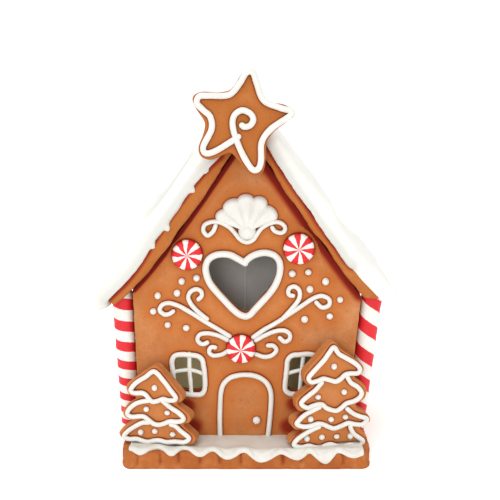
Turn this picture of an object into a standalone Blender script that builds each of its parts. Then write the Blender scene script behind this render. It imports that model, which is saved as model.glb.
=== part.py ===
"""Gingerbread house: a hollow clay house with piped icing, on its own brick plinth.

The front faces -Y, +X is to the right and +Z is up. The origin is on the table,
under the middle of the plinth. Every length below is in millimetres, and the
meshes are scaled to metres where they are made.
"""

import math

import bmesh
import bpy
from mathutils import Vector

MM = 0.001
GAP = 0.3                      # air between pieces that touch in the real thing

# Plinth
BASE_HALF_X = 63.0
BASE_HALF_Y = 59.5
BASE_TOP = 9.1
BASE_CORNER = 7.0
BASE_SHOULDER = 1.6            # the bricks' rounded top edge: how far it runs in
BASE_SHOULDER_Z = 7.9          # and where it starts
BRICK_COUNT = 46
BRICK_GROOVE_DEPTH = 1.1
BRICK_GROOVE_HALF = 0.9

# Walls
FRONT_Y = -39.0                # outer face of the front wall
BACK_Y = 51.0                  # outer face of the back wall
PANEL = 6.0                    # thickness of the front and back walls
SIDE_PANEL = 5.0
WALL_FOOT = BASE_TOP + GAP
WALL_FOOT_X = {"left": -54.7, "right": 51.4}
WALL_EAVE_X = {"left": -57.5, "right": 58.6}
WALL_EAVE_Z = {"left": 86.9, "right": 83.6}

# Roof: ridge, two control points and eave, of the underside and of the top face
ROOF_FRONT_Y = FRONT_Y - 6.5
ROOF_BACK_Y = BACK_Y + 6.5
RIDGE_X = 0.5
ROOF_UNDER = {
    "left": [(RIDGE_X - GAP / 2, 166.6), (-16.5, 141.9), (-51.0, 89.5), (-66.2, 80.7)],
    "right": [(RIDGE_X + GAP / 2, 166.6), (15.5, 142.9), (49.3, 95.3), (59.3, 84.2)],
}
ROOF_TOP = {
    "left": [(RIDGE_X - GAP / 2, 179.0), (-23.5, 148.0), (-54.2, 93.5), (-69.8, 84.0)],
    "right": [(RIDGE_X + GAP / 2, 177.2), (19.5, 144.5), (52.5, 98.0), (67.2, 84.3)],
}
ROOF_STEPS = 8
ROOF_EDGE = 0.8                # softened front and back edges of the roof slabs
RAKE_GAP = 0.6                 # upright air between a wall's sloping top and the roof

# Snow on the roof: outer face from the left drip over the ridge to the right drip
SNOW_OUTER = [
    (-70.2, 78.8), (-73.5, 78.0), (-78.4, 76.8), (-80.9, 80.0), (-78.2, 87.6), (-70.8, 95.2),
    (-62.4, 103.9), (-54.6, 115.4), (-47.2, 126.8), (-39.8, 136.4), (-31.0, 148.6),
    (-24.0, 159.8), (-12.0, 176.8), (-1.0, 184.6), (8.6, 177.4), (17.2, 164.0),
    (31.3, 144.8), (43.6, 128.0), (51.4, 114.6), (59.0, 105.6), (67.0, 98.0), (74.2, 89.0),
    (76.9, 84.9), (75.4, 82.2), (71.4, 82.1), (68.2, 82.9),
]
SNOW_INNER_STEPS = 6
SNOW_LEFT_DRIP = (-69.2, 79.9)
SNOW_RIGHT_DRIP = (67.6, 83.6)
SNOW_SPLIT_Z = 123.0           # above this the blanket is a front roll with a swell behind it
# distance behind the roof's front edge, fullness of the upper part, fullness of the lower part
SNOW_STATIONS = [
    (-0.4, 0.45, 0.45), (1.2, 0.82, 0.82), (6.0, 1.00, 1.00), (13.0, 0.95, 1.00),
    (17.0, 0.80, 0.97), (22.0, 1.04, 0.98), (50.0, 1.08, 1.00), (98.0, 1.00, 1.00),
    (101.8, 0.82, 0.82), (103.4, 0.45, 0.45),
]

# Piped icing
PIPE_WIDTH = 3.1
PIPE_HEIGHT = 2.6

# Heart window
HEART_ICING = [
    (-0.4, 101.9), (-5.2, 104.9), (-11.6, 106.4), (-17.4, 104.4), (-20.3, 99.0), (-19.0, 92.2),
    (-13.4, 84.1), (-6.2, 76.8), (-0.4, 73.5), (5.2, 77.5), (12.6, 85.0), (17.0, 92.8),
    (17.1, 100.8), (13.2, 105.8), (7.6, 107.0), (3.0, 105.0),
]
HEART_WIDTH = 3.8
HEART_HEIGHT = 3.2
HEART_INSET = 1.2              # from the piping's middle to the edge of the hole

# Four-pane windows: left, right, bottom and top of the piping's middle line
WINDOWS = {
    "left": (-37.9, -21.2, 32.9, 54.0),
    "right": (19.8, 37.4, 33.3, 54.3),
}
WINDOW_CORNER = 3.6
WINDOW_INSET = 0.9
WINDOW_BARS = {"left": (-28.8, 45.0), "right": (28.3, 45.2)}

# Door
DOOR_LEFT = -14.0
DOOR_RIGHT = 13.0
DOOR_SPRING_Z = 29.5           # where the straight jambs turn into the arch
DOOR_TOP = 43.5
DOOR_FOOT_Z = 10.4
KNOB = (5.4, 18.1)

# Peppermint discs and icing dots on the front wall
CANDIES = {"candy_left": (-29.4, 105.9, 7.7), "candy_right": (26.4, 108.9, 7.8),
           "candy_centre": (-2.6, 57.0, 7.4)}
CANDY_THICK = 5.0
DOTS = [
    (-32.3, 92.1), (-24.9, 93.8), (-44.5, 84.9), (-34.7, 86.1), (-46.9, 76.6), (-39.8, 69.5),
    (-30.2, 67.9), (23.2, 96.2), (31.2, 96.9), (39.9, 92.1), (32.1, 88.2), (47.4, 82.7),
    (42.3, 74.1), (29.6, 72.5),
]
DOT_RADIUS = 1.75

# Scrolls that fan out from the centre candy: a stem with a branch, a middle and a low curl
SCROLL_WIDTH = 2.8
SCROLLS = {
    "scroll_left_high": [
        (-9.2, 63.6), (-15.6, 67.1), (-21.8, 71.0), (-28.3, 75.5), (-34.3, 78.9), (-39.4, 80.8),
        (-43.0, 79.8), (-43.6, 76.7), (-41.0, 75.0), (-38.0, 76.4)],
    "scroll_left_branch": [
        (-22.4, 71.8), (-26.8, 77.3), (-29.0, 81.5), (-28.7, 86.1), (-25.9, 88.1), (-23.2, 86.8),
        (-22.8, 84.2), (-24.4, 82.8)],
    "scroll_left_middle": [
        (-10.4, 61.0), (-15.8, 63.4), (-21.0, 64.6), (-24.4, 63.2), (-24.9, 60.2), (-22.4, 58.6),
        (-20.0, 60.4)],
    "scroll_left_low": [
        (-10.9, 55.6), (-13.6, 53.8), (-17.2, 53.0), (-19.4, 55.0), (-18.6, 57.6), (-16.0, 58.0)],
    "scroll_right_high": [
        (3.9, 64.0), (9.0, 67.3), (15.2, 71.1), (22.2, 75.8), (28.2, 80.0), (33.7, 83.8),
        (38.3, 85.0), (41.8, 83.0), (41.6, 79.7), (38.3, 78.6), (35.4, 81.0)],
    "scroll_right_branch": [
        (17.6, 72.4), (23.0, 78.0), (26.7, 83.0), (26.7, 87.7), (23.7, 89.8), (20.9, 88.3),
        (20.8, 85.5), (23.2, 84.3)],
    "scroll_right_middle": [
        (5.4, 61.2), (9.6, 64.0), (14.7, 66.1), (19.4, 66.3), (22.3, 64.6), (22.4, 61.8),
        (19.6, 60.6), (17.2, 62.6)],
    "scroll_right_low": [
        (5.8, 54.0), (9.2, 52.6), (13.0, 53.4), (15.7, 56.2), (14.2, 59.0), (11.2, 58.6)],
}

# Shell over the heart: each petal's two bounding angles in degrees and its reach
SHELL_CENTRE = (0.2, 118.6)
SHELL_PETALS = [(20.0, 46.8, 17.4), (46.8, 77.7, 19.0), (77.7, 108.0, 18.6),
                (108.0, 137.8, 17.2), (137.8, 157.0, 16.8)]
SHELL_VALLEY = 15.8
SHELL_FOOT = 3.9
SHELL_HEIGHT = 4.6
SHELL_SCROLL = [
    (-15.6, 120.4), (-17.2, 116.8), (-20.1, 115.9), (-21.8, 118.8), (-19.9, 121.7), (-15.8, 122.5),
    (-10.9, 121.2), (-6.9, 118.5), (-4.4, 114.6), (-2.0, 112.5), (0.5, 112.0), (3.0, 112.7),
    (5.4, 115.2), (8.2, 118.9), (12.4, 121.4), (16.4, 121.9), (19.5, 120.3), (19.6, 117.4),
    (17.0, 116.2), (14.2, 118.4),
]

# Candy canes at the corners of the house
CANE_RADIUS_TOP = 5.4
CANE_RADIUS_FOOT = 4.8
CANE_FOOT_Z = 10.8
CANE_TOP_Z = {"left": 85.5, "right": 81.6}   # cut off sooner where the roof comes lower
CANE_AWAY = 0.6                # air between a cane and the side wall
CANE_SET_BACK = 5.7            # from a wall's outer face to the cane's middle
CANE_SEGMENTS = 10

# Star: corner points of the cookie (tip, valley, tip, ...) and of the piping on it
STAR_CORNERS = [
    (1.6, 198.9), (-7.8, 186.0), (-27.0, 185.9), (-19.4, 170.4), (-24.2, 152.0), (-8.2, 158.8),
    (3.9, 143.4), (9.6, 162.4), (26.2, 175.6), (8.4, 183.6),
]
STAR_ROUNDING = [7.0, 5.0, 7.0, 6.5, 7.5, 3.0, 8.0, 6.0, 7.0, 5.0]
STAR_ICING = [
    (-8.8, 162.9), (-15.6, 158.6), (-19.4, 157.9), (-20.5, 160.8), (-16.4, 168.4),
    (-16.5, 174.6), (-22.9, 181.2), (-22.4, 184.2), (-17.6, 184.6), (-8.6, 185.2), (-3.2, 190.0),
    (0.0, 194.6), (3.1, 194.6), (4.8, 190.0), (8.0, 181.6), (15.6, 178.7), (20.2, 177.4),
    (20.2, 175.0), (11.2, 168.8), (7.3, 162.2), (7.0, 153.4), (5.0, 149.8), (2.3, 150.2),
    (-1.6, 157.4), (-5.2, 166.2), (-6.8, 171.9), (-5.6, 175.7), (-2.2, 177.3), (1.5, 175.9),
    (3.2, 173.0), (1.6, 170.4), (-1.2, 170.1),
]
STAR_WIDTH = 3.2
STAR_THICK = 6.5
STAR_PIVOT_Z = 181.0
STAR_Y = ROOF_FRONT_Y - 1.4    # back of the star at its pivot height
STAR_LEAN = 5.0                # degrees, the top leans back
STAR_TURN = 4.0                # degrees, the face looks a little to the right

# Trees: gingerbread slabs standing on the icing, turned away from the door
TREE_THICK = 7.2
TREE_FOOT_Z = 11.0
TREES = {
    "left": {
        "place": (-43.0, FRONT_Y - 12.4, -13.0),
        "corners": [
            (-2.4, 52.2), (-18.6, 40.2), (-17.0, 34.6), (-11.6, 34.0), (-20.6, 27.2),
            (-19.6, 21.9), (-14.4, 22.0), (-23.2, 14.4), (-21.2, TREE_FOOT_Z),
            (16.6, TREE_FOOT_Z), (18.8, 14.4), (10.6, 21.9), (15.4, 22.4), (15.8, 26.6),
            (7.2, 32.6), (11.6, 33.2), (11.6, 36.6),
        ],
        "icing": [
            [(-2.5, 48.9), (-8.0, 46.0), (-12.7, 42.6), (-15.5, 39.2), (-13.8, 36.8),
             (-9.4, 36.9), (-6.6, 35.2), (-4.0, 33.0), (-0.8, 33.5), (3.0, 34.9), (7.6, 34.8),
             (7.7, 37.0), (4.4, 41.0), (1.0, 45.2)],
            [(-7.0, 31.3), (-12.9, 30.6), (-16.6, 28.2), (-17.6, 25.4), (-14.6, 23.8),
             (-9.0, 24.4), (-5.8, 22.6), (-2.6, 20.9), (1.6, 21.7), (6.6, 23.2), (11.6, 23.9),
             (12.2, 26.2), (9.0, 28.6), (4.6, 30.8)],
            [(-8.4, 20.6), (-13.7, 19.0), (-18.0, 16.2), (-19.2, 13.6), (-14.6, 12.9),
             (-9.4, 13.4), (-5.6, 12.6), (-0.8, 13.5), (4.6, 12.7), (9.8, 13.0), (14.6, 13.4),
             (14.4, 16.0), (11.0, 18.6), (7.4, 20.2)],
        ],
    },
    "right": {
        "place": (41.0, FRONT_Y - 12.8, 12.0),
        "corners": [
            (2.4, 65.2), (-12.9, 47.8), (-11.4, 41.8), (-7.2, 42.4), (-17.2, 35.2),
            (-15.4, 28.4), (-9.2, 29.0), (-19.3, 24.2), (-17.8, 19.0), (-10.8, 19.4),
            (-20.6, 13.4), (-18.4, TREE_FOOT_Z), (19.8, TREE_FOOT_Z), (21.2, 13.2),
            (15.6, 18.4), (23.2, 20.0), (22.4, 24.2), (13.4, 29.8), (20.2, 33.2), (20.6, 39.0),
            (12.8, 45.4), (18.8, 46.6), (18.4, 51.0), (7.4, 58.8),
        ],
        "icing": [
            [(2.5, 61.7), (-0.4, 57.2), (-4.8, 51.8), (-9.8, 47.0), (-9.6, 44.5), (-5.8, 44.8),
             (-2.2, 45.4), (2.8, 43.6), (6.4, 44.8), (9.6, 47.2), (15.0, 47.4), (16.4, 49.8),
             (12.8, 53.6), (6.6, 57.2)],
            [(-5.4, 42.0), (-10.3, 37.6), (-13.8, 33.8), (-11.2, 30.8), (-6.4, 32.0),
             (-2.8, 31.8), (3.6, 28.2), (8.0, 29.8), (13.3, 32.2), (17.6, 34.4), (17.8, 38.2),
             (14.4, 41.6), (9.6, 43.8)],
            [(-6.4, 29.2), (-11.8, 27.2), (-15.9, 23.6), (-13.2, 21.3), (-8.2, 21.3),
             (-3.6, 22.1), (3.2, 19.3), (7.2, 20.5), (11.2, 21.7), (17.6, 20.4), (19.6, 22.6),
             (14.6, 25.2), (11.2, 28.2)],
            [(-7.2, 19.2), (-12.7, 16.7), (-17.0, 13.4), (-14.2, 12.4), (-9.6, 12.8),
             (-4.4, 12.3), (0.4, 12.8), (5.2, 12.3), (10.4, 12.8), (17.4, 12.5), (17.6, 14.2),
             (14.6, 16.8), (13.6, 18.4)],
        ],
    },
}
TREE_PIPE_WIDTH = 2.7
TREE_PIPE_HEIGHT = 2.2

# Icing apron on the plinth's ledge: middle, half width and reach of each lobe. The reach
# runs over the bricks' rounded top edge and down their face.
APRON_THICK = 0.7
APRON_BODY = 1.7               # thickness of the lobes
APRON_HALF_X = 57.6
APRON_SHORTEST = 2.3           # reach between two lobes
FRONT_LOBES = [(-51.2, 6.4, 3.8), (-37.2, 7.3, 4.3), (-23.2, 6.2, 4.5), (-9.4, 7.4, 5.0),
               (7.8, 8.9, 5.9), (24.2, 7.0, 5.1), (38.2, 6.6, 6.6), (51.4, 6.2, 4.7)]
BACK_LOBES = [(-49.6, 7.8, 4.6), (-33.2, 8.4, 5.6), (-16.4, 8.2, 4.2), (0.4, 8.4, 6.2),
              (17.2, 8.2, 5.0), (33.8, 8.2, 6.4), (50.0, 7.4, 4.6)]

# Grey lining that stands against the back wall inside, with a raised seam
LINING_HALF_X = 45.0
LINING_SIDE_TOP = 95.0
LINING_SHOULDER_X = 28.0
LINING_TOP = 118.0
LINING_THICK = 1.6
LINING_BEHIND = 30.0             # from the front wall's outer face to the sheet
LINING_SEAM_X = -0.5
LINING_SEAM_HALF = 1.3
LINING_SEAM_RISE = 1.4

# Colour, roughness
CLAY = {
    "gingerbread": ((0.50, 0.20, 0.065, 1.0), 0.72),
    "icing": ((0.86, 0.84, 0.78, 1.0), 0.55),
    "snow": ((0.86, 0.85, 0.80, 1.0), 0.62),
    "peppermint": ((0.68, 0.03, 0.04, 1.0), 0.45),
    "lining": ((0.14, 0.14, 0.13, 1.0), 0.65),
}


def clear_scene():
    for old in list(bpy.data.objects):
        bpy.data.objects.remove(old, do_unlink=True)


def clay(name):
    """The named clay as a Principled material, made on first use."""
    material = bpy.data.materials.get(name)
    if material is None:
        colour, roughness = CLAY[name]
        material = bpy.data.materials.new(name)
        material.use_nodes = True
        shader = material.node_tree.nodes["Principled BSDF"]
        shader.inputs["Base Color"].default_value = colour
        shader.inputs["Roughness"].default_value = roughness
        shader.inputs["Metallic"].default_value = 0.0
        material.diffuse_color = colour
    return material


def add_piece(name, points, faces, material, place=(0.0, 0.0), turn=0.0, lean=0.0, lift=0.0):
    """One closed piece. Points are in its own frame, whose origin is put at place, lift."""
    mesh = bpy.data.meshes.new(name)
    mesh.from_pydata([(x * MM, y * MM, z * MM) for x, y, z in points], [], faces)
    work = bmesh.new()
    work.from_mesh(mesh)
    bmesh.ops.recalc_face_normals(work, faces=work.faces)
    bmesh.ops.triangulate(work, faces=[f for f in work.faces if len(f.verts) > 4])
    work.to_mesh(mesh)
    work.free()
    mesh.shade_smooth()
    mesh.set_sharp_from_angle(angle=math.radians(40.0))
    piece = bpy.data.objects.new(name, mesh)
    bpy.context.scene.collection.objects.link(piece)
    mesh.materials.append(clay(material))
    piece.location = (place[0] * MM, place[1] * MM, lift * MM)
    piece.rotation_euler = (math.radians(lean), 0.0, math.radians(turn))
    return piece


def as_tool(piece, owner, operation):
    """Use one piece on another with a Boolean, and leave it out of the model."""
    piece.hide_render = True
    piece.display_type = "WIRE"
    boolean = owner.modifiers.new(piece.name, "BOOLEAN")
    boolean.operation = operation
    boolean.solver = "EXACT"
    boolean.object = piece


def loft(rings):
    """Points and faces of a closed skin over equal rings, with a flat cap at each end."""
    count = len(rings[0])
    points = [p for ring in rings for p in ring]
    faces = []
    for r in range(len(rings) - 1):
        for i in range(count):
            a = r * count + i
            b = r * count + (i + 1) % count
            faces.append((a, b, b + count, a + count))
    faces.append(tuple(range(count)))
    last = (len(rings) - 1) * count
    faces.append(tuple(range(last, last + count)))
    return points, faces


def smooth_line(points, steps, closed=False):
    """A Catmull-Rom curve through the points, with so many steps for each stretch."""
    count = len(points)
    line = []
    for i in range(count if closed else count - 1):
        if closed:
            a, b, c, d = (points[(i + k) % count] for k in (-1, 0, 1, 2))
        else:
            a, b, c, d = (points[min(max(i + k, 0), count - 1)] for k in (-1, 0, 1, 2))
        for step in range(steps):
            t = step / steps
            line.append(tuple(
                0.5 * (2 * b[k] + (c[k] - a[k]) * t
                       + (2 * a[k] - 5 * b[k] + 4 * c[k] - d[k]) * t * t
                       + (3 * b[k] - a[k] - 3 * c[k] + d[k]) * t ** 3)
                for k in (0, 1)))
    if not closed:
        line.append(points[-1])
    return line


def bezier(controls, steps):
    """Points along a cubic curve with four control points."""
    line = []
    for step in range(steps + 1):
        t = step / steps
        weights = ((1 - t) ** 3, 3 * t * (1 - t) ** 2, 3 * t * t * (1 - t), t ** 3)
        line.append(tuple(sum(w * p[k] for w, p in zip(weights, controls)) for k in (0, 1)))
    return line


def round_corners(corners, cut):
    """Each corner of an outline becomes three points; cut is the length taken off its sides."""
    count = len(corners)
    cuts = cut if isinstance(cut, list) else [cut] * count
    outline = []
    for i, corner in enumerate(corners):
        here = Vector(corner)
        ends = []
        for other in (corners[i - 1], corners[(i + 1) % count]):
            side = Vector(other) - here
            ends.append(here + side.normalized() * min(cuts[i], side.length * 0.45))
        middle = (ends[0] + 2 * here + ends[1]) / 4
        outline += [tuple(ends[0]), tuple(middle), tuple(ends[1])]
    return outline


def signed_area(outline):
    following = outline[1:] + outline[:1]
    return 0.5 * sum(a[0] * b[1] - b[0] * a[1] for a, b in zip(outline, following))


def inset(outline, distance):
    """The outline moved inwards by a distance, along the normal at each point."""
    inward = 1.0 if signed_area(outline) > 0 else -1.0
    count = len(outline)
    moved = []
    for i, point in enumerate(outline):
        along = Vector(outline[(i + 1) % count]) - Vector(outline[i - 1])
        normal = Vector((-along.y, along.x)).normalized() * inward
        moved.append((point[0] + normal.x * distance, point[1] + normal.y * distance))
    return moved


def slab(name, outline, front, back, edge, material, **place):
    """An upright slab between two depths, with softened front and back edges."""
    small = inset(outline, edge)
    rings = []
    for depth, shape in ((front, small), (front + edge, outline),
                         (back - edge, outline), (back, small)):
        rings.append([(x, depth, z) for x, z in shape])
    points, faces = loft(rings)
    return add_piece(name, points, faces, material, **place)


def prism(name, outline, front, back, material, **place):
    """A plain upright slab, used for walls and for cutters."""
    points, faces = loft([[(x, y, z) for x, z in outline] for y in (front, back)])
    return add_piece(name, points, faces, material, **place)


PIPE_PROFILE = [(-0.5, 0.0), (-0.27, 0.94), (0.27, 0.94), (0.5, 0.0)]
PIPE_END = 0.6                 # a pipe's open ends taper to this part of its size
PIPE_TAPER = 1.0               # over this length


def pipe(name, line, width, height, material="icing", closed=False, rise=GAP, **place):
    """A cord of icing with a flat back, along a line that lies on a surface facing -Y."""
    if not closed:
        for end, other, spot in ((0, 1, 1), (-1, -2, -1)):
            inward = Vector(line[other]) - Vector(line[end])
            inward *= min(PIPE_TAPER / inward.length, 0.5)
            line.insert(spot, (line[end][0] + inward.x, line[end][1] + inward.y))
    count = len(line)
    rings = []
    for i, point in enumerate(line):
        if closed:
            before, after = line[i - 1], line[(i + 1) % count]
        else:
            before, after = line[max(i - 1, 0)], line[min(i + 1, count - 1)]
        along = (Vector(after) - Vector(before)).normalized()
        across = Vector((-along.y, along.x))
        size = PIPE_END if not closed and i in (0, count - 1) else 1.0
        rings.append([(point[0] + across.x * s * width * size, -rise - h * height * size,
                       point[1] + across.y * s * width * size) for s, h in PIPE_PROFILE])
    points, faces = loft(rings)
    if closed:
        sides = len(PIPE_PROFILE)
        last = (count - 1) * sides
        faces = faces[:-2] + [(last + i, last + (i + 1) % sides, (i + 1) % sides, i)
                              for i in range(sides)]
    return add_piece(name, points, faces, material, **place)


def turned(name, centre, profile, segments, material, **place):
    """A round piece on a surface facing -Y; profile is (radius, height) from the back up."""
    x0, z0 = centre
    rings = []
    for radius, height in profile:
        rings.append([(x0 + radius * math.cos(2 * math.pi * i / segments), -GAP - height,
                       z0 + radius * math.sin(2 * math.pi * i / segments))
                      for i in range(segments)])
    points, faces = loft(rings)
    return add_piece(name, points, faces, material, **place)


def wall_side_x(side, z):
    """X of a side wall's outer face at a height: the walls lean outwards."""
    share = (z - WALL_FOOT) / (WALL_EAVE_Z[side] - WALL_FOOT)
    return WALL_FOOT_X[side] + (WALL_EAVE_X[side] - WALL_FOOT_X[side]) * share


def rake_z(x):
    """Height of a wall's sloping top at X, a little below the roof's underside."""
    side = "left" if x < RIDGE_X else "right"
    line = bezier(ROOF_UNDER[side], ROOF_STEPS)
    for a, b in zip(line, line[1:]):
        if min(a[0], b[0]) <= x <= max(a[0], b[0]):
            share = (x - a[0]) / (b[0] - a[0])
            return a[1] + (b[1] - a[1]) * share - RAKE_GAP
    return (line[0] if abs(x - line[0][0]) < abs(x - line[-1][0]) else line[-1])[1] - RAKE_GAP


def eave_corner(side, reach_in=0.0):
    """Where a side wall's face, moved inwards by reach_in, meets the roof."""
    inward = 1.0 if side == "left" else -1.0
    z = WALL_EAVE_Z[side]
    for _ in range(8):
        x = wall_side_x(side, z) + inward * reach_in
        z = rake_z(x)
    return x, z


def gable_outline():
    """The front and back walls' outline, anticlockwise from the lower left."""
    left, right = eave_corner("left"), eave_corner("right")
    outline = [(WALL_FOOT_X["left"], WALL_FOOT), (WALL_FOOT_X["right"], WALL_FOOT), right]
    under = bezier(ROOF_UNDER["right"], ROOF_STEPS)[:0:-1]
    outline += [(x, z - RAKE_GAP) for x, z in under if x < right[0] - 1.0]
    outline.append((RIDGE_X, rake_z(RIDGE_X)))
    under = bezier(ROOF_UNDER["left"], ROOF_STEPS)[1:]
    outline += [(x, z - RAKE_GAP) for x, z in under if x > left[0] + 1.0]
    outline.append(left)
    return outline


def window_outline(side):
    left, right, bottom, top = WINDOWS[side]
    corners = [(left, bottom), (right, bottom), (right, top), (left, top)]
    return round_corners(corners, WINDOW_CORNER)


def heart_outline():
    return smooth_line(HEART_ICING, 2, closed=True)


def make_base():
    """The plinth: a rounded plate whose rim is one course of bricks with upright joints."""
    straight_x = 2 * (BASE_HALF_X - BASE_CORNER)
    straight_y = 2 * (BASE_HALF_Y - BASE_CORNER)
    arc = BASE_CORNER * math.pi / 2
    stretches = [straight_x, arc, straight_y, arc] * 2
    around = sum(stretches)

    def rim_point(s, inwards):
        """The point a distance s along the rim, anticlockwise from the front left corner."""
        s %= around
        heading = 0.0
        x, y = -BASE_HALF_X + BASE_CORNER, -BASE_HALF_Y
        for k, length in enumerate(stretches):
            here = min(s, length)
            if k % 2 == 0:
                x += here * math.cos(heading)
                y += here * math.sin(heading)
            else:
                turn = here / BASE_CORNER
                x += BASE_CORNER * (math.sin(heading + turn) - math.sin(heading))
                y -= BASE_CORNER * (math.cos(heading + turn) - math.cos(heading))
                heading += turn
            s -= here
            if s <= 1e-9:
                break
        return x - math.sin(heading) * inwards, y + math.cos(heading) * inwards

    brick = around / BRICK_COUNT
    stops = []
    for b in range(BRICK_COUNT):
        start = b * brick
        stops += [(start, BRICK_GROOVE_DEPTH), (start + BRICK_GROOVE_HALF, 0.0),
                  (start + brick - BRICK_GROOVE_HALF, 0.0)]
    corner_middle = straight_x + arc / 2
    for k in range(4):
        stops.append((corner_middle, 0.0))
        corner_middle += arc + (straight_y if k % 2 == 0 else straight_x)
    stops.sort()
    rings = []
    for z, pull in ((0.0, 0.4), (BASE_SHOULDER_Z, 0.0), (BASE_TOP, BASE_SHOULDER)):
        rings.append([(*rim_point(s, depth + pull), z) for s, depth in stops])
    points, faces = loft(rings)
    add_piece("base", points, faces, "gingerbread")


def lobe_reach(x, lobes):
    """How far an apron reaches past the start of the bricks' rounded edge, at X."""
    reach = APRON_SHORTEST
    for middle, half, longest in lobes:
        if abs(x - middle) < half:
            bulge = math.cos((x - middle) / half * math.pi / 2) ** 0.7
            reach = max(reach, APRON_SHORTEST + (longest - APRON_SHORTEST) * bulge)
    return reach


def ledge_point(reach, away, edge_y, out):
    """(Y, Z) at a reach along the plinth's edge and a height away from its surface."""
    slope = math.hypot(BASE_SHOULDER, BASE_TOP - BASE_SHOULDER_Z)
    upward = Vector(((BASE_TOP - BASE_SHOULDER_Z) / slope, BASE_SHOULDER / slope))
    share = min(reach / slope, 1.0)
    y = BASE_SHOULDER * (share - 1.0)
    z = BASE_TOP - (BASE_TOP - BASE_SHOULDER_Z) * share - max(reach - slope, 0.0)
    normal = upward if share < 1.0 else Vector((1.0, 0.0))
    if reach == slope:                     # on the edge itself: halfway, and a little longer
        normal = (upward + normal) / (1.0 + upward.x)
    return edge_y + out * (y + normal.x * away), z + normal.y * away


def make_apron(name, wall_y, edge_y, lobes):
    """Icing on the ledge between a wall and the plinth's edge, hanging over it in lobes."""
    out = 1.0 if edge_y > wall_y else -1.0
    near = wall_y + out * GAP
    under = BASE_TOP + GAP
    stops = {-APRON_HALF_X, APRON_HALF_X}
    for middle, half, _ in lobes:
        stops |= {middle - half, middle - half * 0.6, middle, middle + half * 0.6,
                  middle + half}
    rings = []
    for x in sorted(s for s in stops if abs(s) <= APRON_HALF_X):
        reach = lobe_reach(x, lobes)
        section = [(near, under), (near, under + APRON_THICK)]
        section += [ledge_point(reach * share, GAP + body, edge_y, out)
                    for share, body in ((0.0, 1.1), (0.5, APRON_BODY), (1.0, APRON_BODY * 0.6))]
        fold = math.hypot(BASE_SHOULDER, BASE_TOP - BASE_SHOULDER_Z)
        section += [ledge_point(r, GAP, edge_y, out) for r in (reach * 0.95, fold, 0.0)]
        rings.append([(x, y, z) for y, z in section])
    points, faces = loft(rings)
    add_piece(name, points, faces, "snow")


def make_walls():
    outline = gable_outline()
    front = prism("front_wall", outline, 0.0, PANEL, "gingerbread", place=(0.0, FRONT_Y))
    openings = [("heart_hole", inset(heart_outline(), HEART_INSET))]
    openings += [(side + "_window_hole", inset(window_outline(side), WINDOW_INSET))
                 for side in WINDOWS]
    for name, hole in openings:
        cutter = prism(name, hole, -2.0, PANEL + 2.0, "gingerbread", place=(0.0, FRONT_Y))
        as_tool(cutter, front, "DIFFERENCE")
    prism("back_wall", outline, -PANEL, 0.0, "gingerbread", place=(0.0, BACK_Y))
    for side in ("left", "right"):
        inward = 1.0 if side == "left" else -1.0
        foot = WALL_FOOT_X[side]
        section = [(foot, WALL_FOOT), eave_corner(side), eave_corner(side, SIDE_PANEL),
                   (foot + inward * SIDE_PANEL, WALL_FOOT)]
        prism(side + "_wall", section, FRONT_Y + PANEL + GAP, BACK_Y - PANEL - GAP,
              "gingerbread")


def make_roof():
    for side in ("left", "right"):
        outline = bezier(ROOF_UNDER[side], ROOF_STEPS)
        outline += reversed(bezier(ROOF_TOP[side], ROOF_STEPS))
        slab("roof_" + side, outline, ROOF_FRONT_Y, ROOF_BACK_Y, ROOF_EDGE, "gingerbread")


def nearest_point(line, point):
    """The nearest point of an open line."""
    here = Vector(point)
    best = None
    for a, b in zip(line, line[1:]):
        start, along = Vector(a), Vector(b) - Vector(a)
        share = min(max((here - start).dot(along) / along.length_squared, 0.0), 1.0)
        found = start + along * share
        if best is None or (found - here).length < (best - here).length:
            best = found
    return best


def make_roof_snow():
    """A thick blanket over both slopes: a front roll, a crease and a swell behind it."""
    lining = [SNOW_LEFT_DRIP]
    for side, order in (("left", -1), ("right", 1)):
        line = bezier(ROOF_TOP[side], SNOW_INNER_STEPS)[::order]
        for i, point in enumerate(line):
            along = Vector(line[min(i + 1, len(line) - 1)]) - Vector(line[max(i - 1, 0)])
            normal = Vector((-along.y, along.x)).normalized()
            lining.append((point[0] + normal.x * GAP * 1.4, point[1] + normal.y * GAP * 1.4))
    ridge = SNOW_INNER_STEPS + 1
    peak = (RIDGE_X, max(lining[ridge][1], lining[ridge + 1][1]) + GAP * 2)
    lining[ridge:ridge + 2] = [peak]
    lining.append(SNOW_RIGHT_DRIP)
    rings = []
    for behind, upper, lower in SNOW_STATIONS:
        y = ROOF_FRONT_Y + behind
        ring = [(x, y, z) for x, z in lining[::-1]]
        for point in SNOW_OUTER:
            blend = min(max((point[1] - SNOW_SPLIT_Z + 5.0) / 10.0, 0.0), 1.0)
            fullness = lower + (upper - lower) * blend
            base = nearest_point(lining, point)
            spot = base + (Vector(point) - base) * fullness
            ring.append((spot.x, y, spot.y))
        rings.append(ring)
    points, faces = loft(rings)
    add_piece("roof_snow", points, faces, "snow")


def make_star():
    """A cookie star that leans on the gable, with one long cord of icing that ends in a curl."""
    outline = round_corners(STAR_CORNERS, STAR_ROUNDING)
    outline = [(x, z - STAR_PIVOT_Z) for x, z in outline]
    place = dict(place=(0.0, STAR_Y), lift=STAR_PIVOT_Z, lean=-STAR_LEAN, turn=STAR_TURN)
    slab("star", outline, -STAR_THICK, 0.0, 1.1, "gingerbread", **place)
    line = [(x, z - STAR_PIVOT_Z) for x, z in smooth_line(STAR_ICING, 2)]
    pipe("star_icing", line, STAR_WIDTH, PIPE_HEIGHT, rise=STAR_THICK + GAP, **place)


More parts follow.
